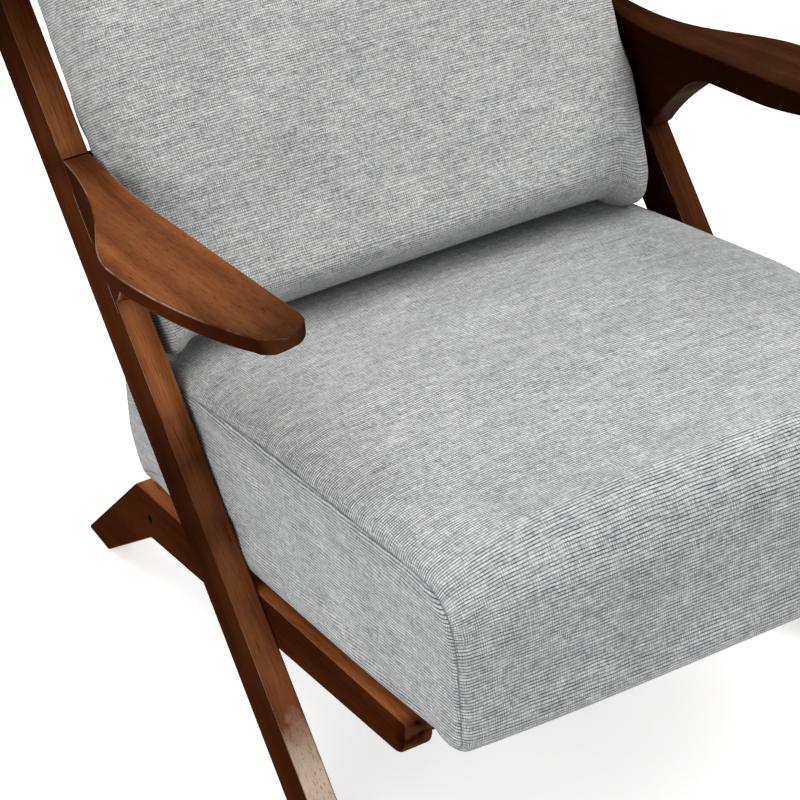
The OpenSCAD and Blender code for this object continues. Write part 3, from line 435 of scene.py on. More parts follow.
class Tree:
    """Short forms for building a node tree."""

    def __init__(self, tree):
        self.tree = tree

    def add(self, kind, **settings):
        n = self.tree.nodes.new(kind)
        for k, v in settings.items():
            setattr(n, k, v)
        return n

    def link(self, a, b):
        self.tree.links.new(a, b)

    def put(self, socket, value):
        if isinstance(value, bpy.types.NodeSocket):
            self.tree.links.new(value, socket)
        elif value is not None:
            socket.default_value = value

    def fill(self, node, **values):
        """Links or sets a node's inputs by name, with _ for a space. Returns the node."""
        for k, v in values.items():
            self.put(node.inputs[k.replace("_", " ")], v)
        return node

    def node(self, kind, *values, **settings):
        """First output of a new node whose inputs are given the values in turn."""
        n = self.add(kind, **settings)
        for socket, value in zip(n.inputs, values):
            self.put(socket, value)
        return n.outputs[0]

    def math(self, op, a, b=None, clamp=False):
        return self.node("ShaderNodeMath", a, b, operation=op, use_clamp=clamp)

    def times(self, a, b, clamp=False):
        return self.math("MULTIPLY", a, b, clamp)

    def total(self, first, *others):
        for other in others:
            first = self.math("ADD", first, other)
        return first

    def swing(self, value, amount):
        """A value of 0 to 1 as a swing about nothing."""
        return self.times(self.math("SUBTRACT", value, 0.5), amount)

    def off_middle(self, value):
        """Distance of a value's fraction from one half."""
        return self.math("ABSOLUTE", self.math("SUBTRACT", self.math("FRACT", value), 0.5))

    def shifted(self, vector, by):
        return self.node("ShaderNodeVectorMath", vector, by, operation="ADD")

    def split(self, vector):
        n = self.add("ShaderNodeSeparateXYZ")
        self.put(n.inputs[0], vector)
        return n.outputs

    def joined(self, x, y, z):
        return self.node("ShaderNodeCombineXYZ", x, y, z)

    def noise(self, vector, scale, detail, rough):
        n = self.add("ShaderNodeTexNoise")
        self.fill(n, Vector=vector, Scale=scale, Detail=detail, Roughness=rough)
        return n.outputs["Fac"]

    def ramp(self, fac, stops):
        n = self.add("ShaderNodeValToRGB")
        while len(n.color_ramp.elements) < len(stops):
            n.color_ramp.elements.new(0.5)
        for e, (pos, col) in zip(n.color_ramp.elements, stops):
            e.position = pos
            e.color = (*col, 1)
        self.put(n.inputs[0], fac)
        return n.outputs[0]

    def mixed(self, fac, a, b, blend="MIX"):
        n = self.add("ShaderNodeMix", data_type="RGBA", blend_type=blend)
        for i, v in ((0, fac), (6, a), (7, b)):  # factor and the two colours
            self.put(n.inputs[i], v)
        return n.outputs[2]

    def remap(self, value, low, high, to_low=0.0, to_high=1.0):
        return self.node("ShaderNodeMapRange", value, low, high, to_low, to_high)

    def mapping(self, vector, rotation=(0, 0, 0), scale=(1, 1, 1)):
        n = self.add("ShaderNodeMapping")
        self.fill(n, Vector=vector, Rotation=[rad(a) for a in rotation], Scale=scale)
        return n.outputs[0]

    def attribute(self, name):
        return self.add("ShaderNodeAttribute", attribute_name=name).outputs

    def bump(self, height, strength, distance):
        n = self.add("ShaderNodeBump")
        return self.fill(n, Strength=strength, Distance=distance, Height=height).outputs[0]


def new_material(name):
    m = bpy.data.materials.new(name)
    m.use_nodes = True
    m.node_tree.nodes.clear()
    t = Tree(m.node_tree)
    out = t.add("ShaderNodeOutputMaterial")
    bsdf = t.add("ShaderNodeBsdfPrincipled")
    t.link(bsdf.outputs[0], out.inputs[0])
    return m, t, bsdf


def group(name, inputs, outputs):
    g = bpy.data.node_groups.new(name, "ShaderNodeTree")
    for way, sockets in (("INPUT", inputs), ("OUTPUT", outputs)):
        for n, kind in sockets.items():
            g.interface.new_socket(name=n, in_out=way, socket_type="NodeSocket" + kind)
    t = Tree(g)
    return g, t, t.add("NodeGroupInput"), t.add("NodeGroupOutput")


def wood_group():
    """Stained hardwood. Its grain runs along Y of the vector it is given, in metres. Edge is 1 on
    ridges, whose stain is rubbed off and which get a painted highlight, both as far as the
    rub-and-highlight input sets. Face is 1 on faces that look sideways, which get painted shade,
    as deep as Side sets. Tone multiplies the stain's colour."""
    g, t, gi, go = group("stained_grain", dict(Vector="Vector", Edge="Float", Face="Float",
                                               Tone="Float", Wear="Float", Side="Float"),
                         dict(Color="Color", Roughness="Float", Height="Float"))
    v = gi.outputs["Vector"]
    rings = t.add("ShaderNodeTexWave", wave_type="BANDS", bands_direction="X", wave_profile="SIN")
    t.fill(rings, Vector=t.mapping(v, rotation=(0, 24, 2), scale=(1, 0.10, 0.5)), Scale=9.0,
           Distortion=9.0, Detail=4.0, Detail_Scale=1.3, Detail_Roughness=0.6)
    figure = rings.outputs["Fac"]
    streak = t.noise(t.mapping(v, scale=(75, 2.2, 75)), 1.0, 5, 0.62)
    fibre = t.noise(t.mapping(v, scale=(520, 9, 520)), 1.0, 3, 0.6)
    pore = t.noise(t.mapping(v, scale=(1100, 45, 1100)), 1.0, 1, 0.5)
    pore_mask = t.remap(pore, 0.60, 0.72)
    blotch = t.noise(t.mapping(v, scale=(1.0, 0.45, 1.0)), 9.0, 3, 0.5)
    mottle = t.noise(v, 42.0, 3, 0.6)
    tone = t.total(t.times(figure, 0.16), t.times(streak, 0.50), t.swing(fibre, 0.34),
                   t.swing(blotch, 0.70), t.swing(mottle, 0.16))
    colour = t.ramp(tone, [(0.06, (0.120, 0.0350, 0.0100)), (0.25, (0.190, 0.0600, 0.0185)),
                           (0.41, (0.262, 0.0880, 0.0290)), (0.66, (0.390, 0.1420, 0.0500))])
    # Darker colours for the faces that look sideways: painted shade, deepened by Side
    deep = t.ramp(tone, [(0.06, (0.038, 0.0082, 0.0014)), (0.33, (0.068, 0.0160, 0.0028)),
                         (0.66, (0.118, 0.0310, 0.0060))])
    deep = t.mixed(1.0, deep, gi.outputs["Side"], "MULTIPLY")
    colour = t.mixed(gi.outputs["Face"], colour, deep)
    colour = t.mixed(1.0, colour, gi.outputs["Tone"], "MULTIPLY")
    colour = t.mixed(t.times(pore_mask, 0.5), colour, (0.022, 0.006, 0.002, 1))
    # Pale ridges in patches: stain rubbed off, with a painted highlight
    patch = t.noise(t.mapping(v, scale=(34, 11, 34)), 1.0, 4, 0.7)
    line = t.remap(gi.outputs["Edge"], 0.75, 1.0)
    rubbed_and_highlit = t.times(line, t.remap(patch, 0.42, 0.60, 0.05, 0.80), clamp=True)
    rubbed_and_highlit = t.times(rubbed_and_highlit, gi.outputs["Wear"], clamp=True)
    colour = t.mixed(rubbed_and_highlit, colour, (0.52, 0.33, 0.22, 1))
    rough = t.total(t.remap(fibre, 0.3, 0.7, 0.33, 0.43), t.times(pore_mask, 0.15),
                    t.swing(mottle, 0.14), t.times(gi.outputs["Face"], 0.42))
    height = t.math("SUBTRACT", t.times(fibre, 0.35), t.times(pore_mask, 0.6))
    t.fill(go, Color=colour, Roughness=rough, Height=height)
    return g


WOOD_GROUP = wood_group()
WOODS = {}


def wood(name, rotation, seed, tone=1.0, rub_and_highlight=1.0, joints=(), pale_ridges_to=None, side=1.0,
         painted_sheen_below=None):
    """Wood whose grain runs along Y after the piece is turned by rotation (degrees). joints:
    places (mm along the grain, reach in mm, share) of darkened bands: painted shade, over some
    stain collected where pieces meet. pale_ridges_to: how far along the grain its ridges are
    rubbed and carry a painted highlight. side: tone of the faces that look sideways, which get
    painted shade. painted_sheen_below: where along the grain the foot's front faces get a painted
    sheen, drawn as pale wood with open pores."""
    if name in WOODS:
        return WOODS[name]
    m, t, bsdf = new_material("wood_" + name)
    g = t.add("ShaderNodeGroup", node_tree=WOOD_GROUP)
    place_in = t.add("ShaderNodeTexCoord")
    co = place_in.outputs["Object"]
    turned = t.mapping(co, rotation=rotation)
    along = t.split(turned)[1]
    # 1 on faces that look sideways, which the grain group paints in shade and makes rougher
    face = t.remap(t.math("ABSOLUTE", t.split(place_in.outputs["Normal"])[0]), 0.35, 0.9)
    # The pale ridges, rubbed and painted as a highlight, fade out at a set place along the grain
    if pale_ridges_to is not None:
        rub_and_highlight = t.remap(along, pale_ridges_to / 1000, (pale_ridges_to + 30) / 1000, rub_and_highlight, 0.0)
    t.fill(g, Vector=t.shifted(turned, (seed, seed * 0.7, seed * 1.3)),
           Edge=t.attribute("edge")["Fac"], Face=face, Tone=tone, Wear=rub_and_highlight, Side=side)
    colour = g.outputs["Color"]
    # Darkened bands along the grain: painted shade, over some stain collected where pieces meet
    if joints:
        wobble = t.swing(t.noise(co, 18.0, 3, 0.6), 0.06)
        for spot, reach, share in joints:
            far = t.math("SUBTRACT", t.total(along, wobble), spot / 1000)
            shaded_and_stained = t.remap(t.math("ABSOLUTE", far), 0.0, reach / 1000, share, 0.0)
            colour = t.mixed(shaded_and_stained, colour, (0.010, 0.0022, 0.0004, 1))
    # Painted sheen on the front faces near the foot: pale wood with open pores
    if painted_sheen_below is not None:
        edge = t.total(along, t.swing(t.noise(co, 40.0, 4, 0.7), 0.06))
        painted_sheen = t.remap(edge, (painted_sheen_below - 52) / 1000, (painted_sheen_below + 12) / 1000, 1.0, 0.0)
        pore = t.noise(t.mapping(turned, scale=(950, 190, 950)), 1.0, 2, 0.6)
        streak = t.noise(t.mapping(turned, scale=(60, 6, 60)), 1.0, 3, 0.6)
        sheen_colour = t.mixed(streak, (0.86, 0.67, 0.51, 1), (0.71, 0.57, 0.46, 1))
        sheen_colour = t.mixed(t.times(t.remap(pore, 0.58, 0.68), 0.7), sheen_colour, (0.14, 0.07, 0.045, 1))
        colour = t.mixed(t.times(painted_sheen, t.math("SUBTRACT", 1.0, face)), colour, sheen_colour)
    t.fill(bsdf, Base_Color=colour, Roughness=g.outputs["Roughness"], Specular_IOR_Level=0.006,
           Normal=t.bump(g.outputs["Height"], 0.35, 0.0004))
    WOODS[name] = m
    return m


RIB_PITCH, THREAD_PITCH = 0.00294, 0.0019  # of the cloth, in metres


def fabric_group():
    """Ribbed cloth. Weave: X along the ribs, Y across them, in metres, Z tells panels apart.
    Seam: X is the distance from the seam, in metres. Ribs: how dark the gaps between ribs are."""
    g, t, gi, go = group("ribbed_cloth", dict(Weave="Vector", Seam="Vector", Ribs="Float"),
                         dict(Color="Color", Height="Float"))
    weave = gi.outputs["Weave"]
    along, across, panel = t.split(weave)
    wobble = t.swing(t.noise(weave, 30.0, 3, 0.6), 0.0030)
    phase = t.math("DIVIDE", t.total(across, wobble), RIB_PITCH)
    row = t.math("FLOOR", phase)
    off_rib = t.off_middle(phase)

    def strip(pitch, shift):
        """A vector that runs along one rib and jumps from rib to rib."""
        return t.joined(t.math("DIVIDE", along, pitch), t.times(row, 7.31),
                        t.total(panel, shift))

    slub = t.noise(strip(0.016, 0.0), 1.0, 3, 0.65)
    knot = t.noise(strip(0.0019, 3.7), 1.0, 1, 0.5)
    gap = t.noise(strip(0.009, 9.1), 1.0, 3, 0.7)
    heavy = t.remap(t.noise(strip(0.022, 5.1), 1.0, 3, 0.75), 0.44, 0.62)
    pale = t.noise(strip(0.060, 2.3), 1.0, 2, 0.6)

    # Threads across the ribs: a chance of its own for each, over two ribs at a time
    stray = t.noise(weave, 60.0, 2, 0.6)
    thread = t.total(t.math("DIVIDE", along, THREAD_PITCH), t.times(stray, 1.6))
    count = t.math("FLOOR", thread)
    pair = t.math("FLOOR", t.times(t.total(row, t.times(count, 0.7)), 0.5))
    chance = t.add("ShaderNodeTexWhiteNoise", noise_dimensions="3D")
    t.fill(chance, Vector=t.joined(count, pair, panel))
    cross = t.remap(t.off_middle(thread), 0.22, 0.42)

    tone = t.total(t.times(slub, 0.50), t.times(chance.outputs["Value"], 0.20), 0.12,
                   t.swing(knot, 0.5), t.swing(pale, 0.3))
    colour = t.ramp(tone, [(0.20, (0.31, 0.32, 0.33)), (0.42, (0.56, 0.567, 0.57)),
                           (0.58, (0.74, 0.742, 0.73)), (0.80, (0.92, 0.918, 0.895))])
    # The side panels get painted shade, a little darker, and are calmer away from their seam
    away = t.split(gi.outputs["Seam"])[0]
    boxing = t.remap(t.math("ABSOLUTE", panel), 0.1, 0.2)
    calm = t.math("SUBTRACT", 1.0, t.times(boxing, t.remap(away, 0.012, 0.040, 0.0, 0.30)))
    colour = t.mixed(t.times(boxing, 0.10), colour, (0.36, 0.365, 0.38, 1))
    # Dark gaps between ribs, dark threads and painted shade in the seam's fold
    depth = t.times(t.remap(gap, 0.34, 0.60, 0.35, 1.0), t.remap(heavy, 0.0, 1.0, 0.66, 1.15))
    depth = t.times(t.times(calm, gi.outputs["Ribs"]), depth, clamp=True)
    dark = t.times(t.remap(off_rib, 0.27, 0.41), depth)
    colour = t.mixed(dark, colour, (0.030, 0.035, 0.045, 1))
    mark = t.times(cross, t.remap(chance.outputs["Value"], 0.40, 1.0, 0.0, 0.90))
    colour = t.mixed(t.times(mark, calm), colour, (0.11, 0.113, 0.113, 1))
    # Painted shade along the seam's fold
    fold = t.remap(away, 0.0002, 0.0012, 1.0, 0.0)
    colour = t.mixed(t.times(fold, 0.6), colour, (0.075, 0.082, 0.095, 1))
    height = t.total(t.remap(off_rib, 0.12, 0.5, 1.0, 0.0), t.times(knot, 0.5))
    height = t.math("SUBTRACT", height, t.times(cross, 0.45))
    t.fill(go, Color=colour, Height=height)
    return g


FABRIC_GROUP = fabric_group()


def fabric(name, ribs, shade_tint):
    m, t, bsdf = new_material(name)
    g = t.add("ShaderNodeGroup", node_tree=FABRIC_GROUP)
    t.fill(g, Weave=t.attribute("weave")["Vector"], Seam=t.attribute("seam")["Vector"],
           Ribs=ribs)
    co = t.add("ShaderNodeTexCoord").outputs["Object"]
    tone = t.remap(t.noise(co, 14.0, 4, 0.65), 0.32, 0.68, 0.90, 1.08)
    colour = t.mixed(1.0, g.outputs["Color"], tone, "MULTIPLY")
    t.fill(bsdf, Base_Color=t.mixed(1.0, colour, (*shade_tint, 1), "MULTIPLY"), Roughness=0.92,
           Specular_IOR_Level=0.2, Sheen_Weight=0.15, Sheen_Roughness=0.5,
           Normal=t.bump(g.outputs["Height"], 0.45, 0.0006))
    return m


def plain(name, colour, rough, scale=200.0, metal=0.0, spread=0.25, stretch=(1, 1, 1), gloss=0.5):
    """Plain stock with mottle and fine grain."""
    m, t, bsdf = new_material(name)
    co = t.add("ShaderNodeTexCoord").outputs["Object"]
    n = t.noise(t.mapping(co, scale=stretch), scale, 4, 0.6)
    low = tuple(c * (1 - spread) for c in colour)
    high = tuple(min(1.0, c * (1 + spread)) for c in colour)
    t.fill(bsdf, Base_Color=t.ramp(n, [(0.3, low), (0.7, high)]), Metallic=metal,
           Roughness=t.remap(n, 0.3, 0.7, rough - 0.06, rough + 0.06),
           Specular_IOR_Level=gloss, Normal=t.bump(n, 0.2, 0.0003))
    return m


# Cushions. Their own frames are (x, a, b): for the seat a runs back along it and b out of its
# top, for the back a runs to its rear and b up along it.

def lengths(points):
    """Distance along a line of points at each of them."""
    return np.concatenate([[0], np.cumsum(np.linalg.norm(np.diff(points, axis=0), axis=1))])


def resample(outline, pitch):
    """An outline's points and normals, evenly spaced by about pitch."""
    p = np.array([a for a, b in outline])
    q = np.array([b for a, b in outline])
    p = np.vstack([p, p[:1]])
    q = np.vstack([q, q[:1]])
    d = lengths(p)
    keep = np.concatenate([[True], np.diff(d) > 1e-6])
    p, q, d = p[keep], q[keep], d[keep]
    n = 2 * int(round(d[-1] / pitch / 2))
    at = np.arange(n) * d[-1] / n
    out = np.stack([np.interp(at, d, p[:, k]) for k in (0, 1)], 1)
    nor = np.stack([np.interp(at, d, q[:, k]) for k in (0, 1)], 1)
    nor /= np.linalg.norm(nor, axis=1)[:, None]
    return out, nor


def cushion(outline, half, crowns, powers, puff, gain=0.0, gain_from=0.0, flare=0.0, base=0.0,
            rib=1.0, over=False):
    """A cushion's grid: rings across X between two side seams, then side panels that swell by
    puff. crowns: swell of its front, rear, top and bottom between the sides, each flattened by its
    power. gain: further rise of the top behind gain_from. flare: widening above base. rib: scale
    of the ribs. With over, the front panel runs on over the sides and the seam lies at their rear
    edge. Gives points, faces and the coordinates of the cloth at each face's corners."""
    p, q = resample(outline, PITCH)
    n = len(p)
    centre = p.mean(0)
    near = np.maximum(q, 0)
    far = np.maximum(-q, 0)
    # Distance from the middle, inset and scale of each ring
    inner = half - SEAM_R
    count = int(round(inner / PITCH))
    levels = [(inner * k / count, 0.0, 1.0) for k in range(count + 1)]
    levels += [(inner + SEAM_R * cosd(g), SEAM_R * (1 - sind(g)) + sewn, 1.0)
               for g, sewn in SEAM_TURNS]
    seam_level = len(levels) - 4  # the ring at 45 degrees
    caps = []
    steps = int(round(0.5 * min(np.ptp(p[:, 0]), np.ptp(p[:, 1])) / PITCH))
    for k in range(1, steps + 1):
        s = 1 - k / steps
        caps.append((half + puff * (1 - s ** 3), SEAM_R, max(s, 0.004)))
    rise = crowns[2] + gain * np.maximum(p[:, 0] - gain_from, 0)
    rows = []
    for x, inset, s in levels + caps:
        u = min(x / half, 1)
        f = [(1 - u ** w) ** 0.75 for w in powers]
        a = p[:, 0] + near[:, 0] * crowns[1] * f[1] - far[:, 0] * crowns[0] * f[0] - inset * q[:, 0]
        b = p[:, 1] + near[:, 1] * rise * f[2] - far[:, 1] * crowns[3] * f[3] - inset * q[:, 1]
        a, b = centre[0] + (a - centre[0]) * s, centre[1] + (b - centre[1]) * s
        xs = np.minimum(x * (1 + flare * (b - base) / half), CUSHION_LIMIT)
        rows.append(np.stack([xs, a, b], 1))
    mirrored = [r * np.array([-1, 1, 1]) for r in rows[1:]]
    points = np.vstack(list(reversed(mirrored)) + rows)
    mid = len(rows) - 1
    rings = 2 * len(rows) - 1

    # Cloth coordinates: across the ribs round the outline, along them out from the middle
    wrap = np.array([lengths(np.vstack([r, r[:1]])) for r in rows[:len(levels)]])
    mean = wrap[:int(count * 0.9)].mean(0)
    out_len = lengths(np.array([r[0] for r in rows]))
    facing = [k for k in range(n) if q[k][0] < -0.98]
    near_mid = facing[len(facing) // 2]
    front = (p[near_mid][0], mean[near_mid] + p[near_mid][1])
    faces, weave, seam = [], [], []
    for j in range(rings - 1):
        side = 1 if j >= mid else -1
        lo, hi = abs(j - mid), abs(j + 1 - mid)
        wrapped = max(lo, hi) <= seam_level
        for i in range(n):
            k = (i + 1) % n
            faces.append((j * n + i, (j + 1) * n + i, (j + 1) * n + k, j * n + k))
            for level, i2, j2 in ((lo, i, i), (hi, i, i), (hi, k, i + 1), (lo, k, i + 1)):
                row = rows[level]
                if wrapped:
                    weave.append((side * out_len[level] if level else 0.0, mean[j2] * rib, 0.0))
                elif over:
                    weave.append((side * (out_len[seam_level] + row[i2][1] - front[0]),
                                  (front[1] - row[i2][2]) * rib, 0.0))
                else:
                    weave.append((row[i2][1], row[i2][2] * rib, SIDE_PANEL * side))
                gap = abs(out_len[level] - out_len[seam_level])
                seam.append((gap + (60 if over and q[i2][0] < -0.5 else 0), 0.0, 0.0))
    return dict(points=points, faces=faces, weave=weave, seam=seam, n=n, rings=rings, mid=mid)


def blurred(field, turns):
    """A field over rings and columns with its fine detail taken out."""
    for k in range(turns):
        field = (np.roll(field, 1, 1) + 2 * field + np.roll(field, -1, 1)) / 4
        ends = np.concatenate([field[:1], field, field[-1:]])
        field = (ends[:-2] + 2 * ends[1:-1] + ends[2:]) / 4
    return field


CLOTH = dict(quality=5, mass=0.3, tension_stiffness=40, compression_stiffness=40,
             shear_stiffness=5, bending_stiffness=2, air_damping=2, vertex_group_mass="held",
             use_pressure=True)
CLOTH_FRAMES, WIDE_SHARE = 20, 0.1


def inflate(name, data, pressure, slack, cap):
    """Blows a cushion up as cloth on every other ring and column. Its puckers come back in full,
    its wide swelling by a share, because the outline already holds it. No point moves past cap."""
    n, mid, rings = data["n"], data["mid"], data["rings"]
    grid = data["points"].reshape(rings, n, 3)
    size = np.ptp(grid[:, :, 2], axis=1)
    keep = [r for r in range(rings) if size[r] > 0.2 * size.max() and (r - mid) % 2 == 0]
    small = grid[keep][:, ::2] / 1000
    rows, cols = small.shape[:2]
    faces = [(j * cols + i, (j + 1) * cols + i,
              (j + 1) * cols + (i + 1) % cols, j * cols + (i + 1) % cols)
             for j in range(rows - 1) for i in range(cols)]
    me = bpy.data.meshes.new(name + "_cloth")
    me.from_pydata(small.reshape(-1, 3).tolist(), [], faces)
    o = bpy.data.objects.new(name + "_cloth", me)
    scene.collection.objects.link(o)
    held = o.vertex_groups.new(name="held")
    held.add(list(range(cols)) + list(range((rows - 1) * cols, rows * cols)), 1.0, "REPLACE")
    cloth = o.modifiers.new("cloth", "CLOTH")
    for k, v in CLOTH.items():
        setattr(cloth.settings, k, v)
    cloth.settings.uniform_pressure_force = pressure
    cloth.settings.shrink_min = -slack
    cloth.settings.effector_weights.gravity = 0
    cloth.collision_settings.use_collision = False
    cloth.point_cache.frame_start = 1
    cloth.point_cache.frame_end = CLOTH_FRAMES
    for f in range(1, CLOTH_FRAMES + 1):
        scene.frame_set(f)
    seen = o.evaluated_get(bpy.context.evaluated_depsgraph_get()).to_mesh()
    co = np.empty(len(seen.vertices) * 3)
    seen.vertices.foreach_get("co", co)
    moved = (co.reshape(rows, cols, 3) - small) * 1000
    scene.frame_set(1)
    bpy.data.objects.remove(o)
    wide = blurred(moved, 40)
    moved = wide * WIDE_SHARE + (moved - wide)
    far = np.linalg.norm(moved, axis=2, keepdims=True) + 1e-9
    moved *= cap * np.tanh(far / cap) / far
    # Back onto every ring and column
    at = np.arange(rings)
    full = np.zeros((rings, cols, 3))
    for k in range(3):
        for i in range(cols):
            full[:, i, k] = np.interp(at, keep, moved[:, i, k], left=0, right=0)
    wide = np.zeros((rings, n, 3))
    wide[:, ::2] = full
    wide[:, 1::2] = (full + np.roll(full, -1, 1)) / 2
    data["points"] = (grid + blurred(wide, 1)).reshape(-1, 3)


def place(points, kind):
    """Points (x, a, b) of a cushion's own frame in metres in the chair's frame."""
    x, a, b = points.T / 1000
    lean, z0 = BACK_LEAN, 0.0
    if kind == "seat":
        lean, z0 = TILT, (RAIL_TOP + SEAT_LIFT / cosd(TILT)) / 1000
    c, s = cosd(lean), sind(lean)
    return np.stack([x, a * c + b * s, z0 - a * s + b * c], 1)


def set_corner(o, name, values):
    a = o.data.attributes.new(name, "FLOAT_VECTOR", "CORNER")
    a.data.foreach_set("vector", (np.array(values, np.float32) / 1000).ravel())


def cushion_object(name, data, kind, material):
    o = mesh_object(name, place(data["points"], kind), data["faces"])
    set_corner(o, "weave", data["weave"])
    set_corner(o, "seam", data["seam"])
    o.data.materials.append(material)
    return o


def seat_outline():
    """The seat's outline at its sides, as (a, b)."""
    c = [
        [-SEAT_FRONT, 0, 24, 12],
        [-SEAT_FRONT - SEAT_NOSE, 92, 50, 12],
        [-SEAT_FRONT - SEAT_NOSE, SEAT_FRONT_H, SEAT_TOP_R, 16],
        [-SEAT_PEAK, SEAT_MID_H, 400, 12],
        [SEAT_REAR - 12, SEAT_REAR_H, 42, 16],
        [SEAT_REAR + 10, 55, 40, 12],
        [SEAT_REAR, 0, 10, 6],
    ]
    return rounded(list(reversed(c)))


def back_outline(rear):
    """The back cushion's outline at its sides, as (a, b)."""
    top = BACK_LOW + BACK_HEIGHT
    return rounded([
        [rear - BACK_T, BACK_LOW, BACK_BOTTOM_R, 16],
        [rear, BACK_LOW, BACK_BOTTOM_R, 16],
        [rear, top, BACK_REAR_R, 16],
        [rear - BACK_T, top, BACK_TOP_R, 16],
    ])


# The back cushion's slump: height above its bottom against how far each side stands out
RIGHT_OUT = ((0, -12), (15, -11), (45, -3.5), (75, 2.5), (100, 6), (140, 9), (190, 10.5), (420, 6))
LEFT_OUT = ((0, 3.5), (180, 4.0), (230, 5.5), (300, 5.0), (420, 3.0))
SAG_H = 110  # how far up its lower edge and corners hang slack
EARS = ((1, 12.5, 0.83, 0.93), (-1, 11, 0.91, 1.0))  # side, drop, start and end in half widths
TUCKS = ((1, 4.5, 36), (-1, 3.0, 14))  # side, depth, distance from the side
TUCK_LOW, TUCK_LEN, TUCK_LEAN = -14, 62, 34


def settle_back(data, n_back, rear, zip_n):
    """The back cushion as it sits: pushed a little to its left at the foot, fuller to the right
    above, with slack lower corners that hang as ears, each with a tuck above it."""
    x, a, b = data["points"].T.copy()
    h = b - BACK_LOW
    u = x / BACK_HALF
    x += np.clip(u, 0, 1.05) ** 2 * np.interp(h, *zip(*RIGHT_OUT))
    x -= np.clip(-u, 0, 1.05) ** 2 * np.interp(h, *zip(*LEFT_OUT))
    near = 1 - ease(h, 0, SAG_H)
    b -= 2.0 * near
    b -= near * sum(drop * ease(side * u, *reach) for side, drop, *reach in EARS)
    for side, deep, at in TUCKS:
        t = np.clip((h - TUCK_LOW) / TUCK_LEN, 0, 1)
        line = side * (BACK_HALF - at - TUCK_LEAN * t)
        fold = np.exp(-((x - line) / 8.5) ** 2) * (1 - t) * ease(h, -40, -8)
        swell = np.exp(-((x - line + side * 20) / 15) ** 2) * (1 - t) * ease(h, -40, 0)
        a += ease(-(a - rear), 10, 50) * (deep * fold - 1.5 * swell)
    a = np.minimum(a, n_back - BACK_CLEAR)
    # The channel that the zip lies in
    channel = 1 - ease(np.abs(b - BACK_LOW - ZIP_UP), ZIP_W / 2 + 0.5, ZIP_W / 2 + 5)
    channel = channel * (1 - ease(np.abs(x), ZIP_LEN / 2 + 1, ZIP_LEN / 2 + 9))
    channel = channel * (a > rear - 5)
    a += channel * (zip_n - BACK_CLEAR - a)
    data["points"] = np.stack([np.clip(x, -CUSHION_LIMIT, CUSHION_LIMIT), a, b], 1)


n_back = build_frame()
rear = n_back - BACK_GAP - BACK_CROWNS[1]
zip_n = n_back - BACK_GAP - ZIP_GROOVE

seat = cushion(seat_outline(), SEAT_HALF, SEAT_CROWNS, (4, 4, 4, 4), 1.5,
               gain=SEAT_GAIN, gain_from=-SEAT_PEAK)
inflate("seat", seat, 0.3, 0.006, 4)
seat["points"][:, 2] = np.maximum(seat["points"][:, 2], -0.3)
back = cushion(back_outline(rear), BACK_HALF, BACK_CROWNS, (4, 8, 4, 4), 3,
               flare=BACK_FLARE / BACK_HEIGHT, base=BACK_LOW, rib=1.235, over=True)
inflate("back", back, 0.2, 0.010, 5)
settle_back(back, n_back, rear, zip_n)

seat_piece = cushion_object("seat_cushion", seat, "seat",
                            fabric("ribbed_cloth_seat", 1.30, (1.0, 1.0, 1.0)))
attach(seat_piece, "frame")
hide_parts("seat_cover", "seat_foam")
# The back's cloth is a little darker than the seat's: painted shade
back_piece = cushion_object("back_cushion", back, "back",
                            fabric("ribbed_cloth_back", 0.95, (0.90, 0.90, 0.885)))
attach(back_piece, "back_cushion")
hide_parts("back_cover", "back_foam")


# Small parts

BLOCK_FACES = ((0, 1, 3, 2), (4, 6, 7, 5), (0, 4, 5, 1), (2, 3, 7, 6), (0, 2, 6, 4), (1, 5, 7, 3))


def blocks(name, boxes, bevel):
    """One mesh of many small blocks (x0, x1, n0, n1, v0, v1) in mm, in the back cushion's frame."""
    verts, faces = [], []
    for x0, x1, n0, n1, v0, v1 in boxes:
        k = len(verts)
        verts += [(x, a, b) for x in (x0, x1) for a in (n0, n1) for b in (v0, v1)]
        faces += [tuple(k + i for i in f) for f in BLOCK_FACES]
    o = mesh_object(name, place(np.array(verts, float), "back"), faces)
    fix_normals(o)
    m = o.modifiers.new("eased", "BEVEL")
    m.width, m.segments = bevel / 1000, 2
    weigh(o)
    return o


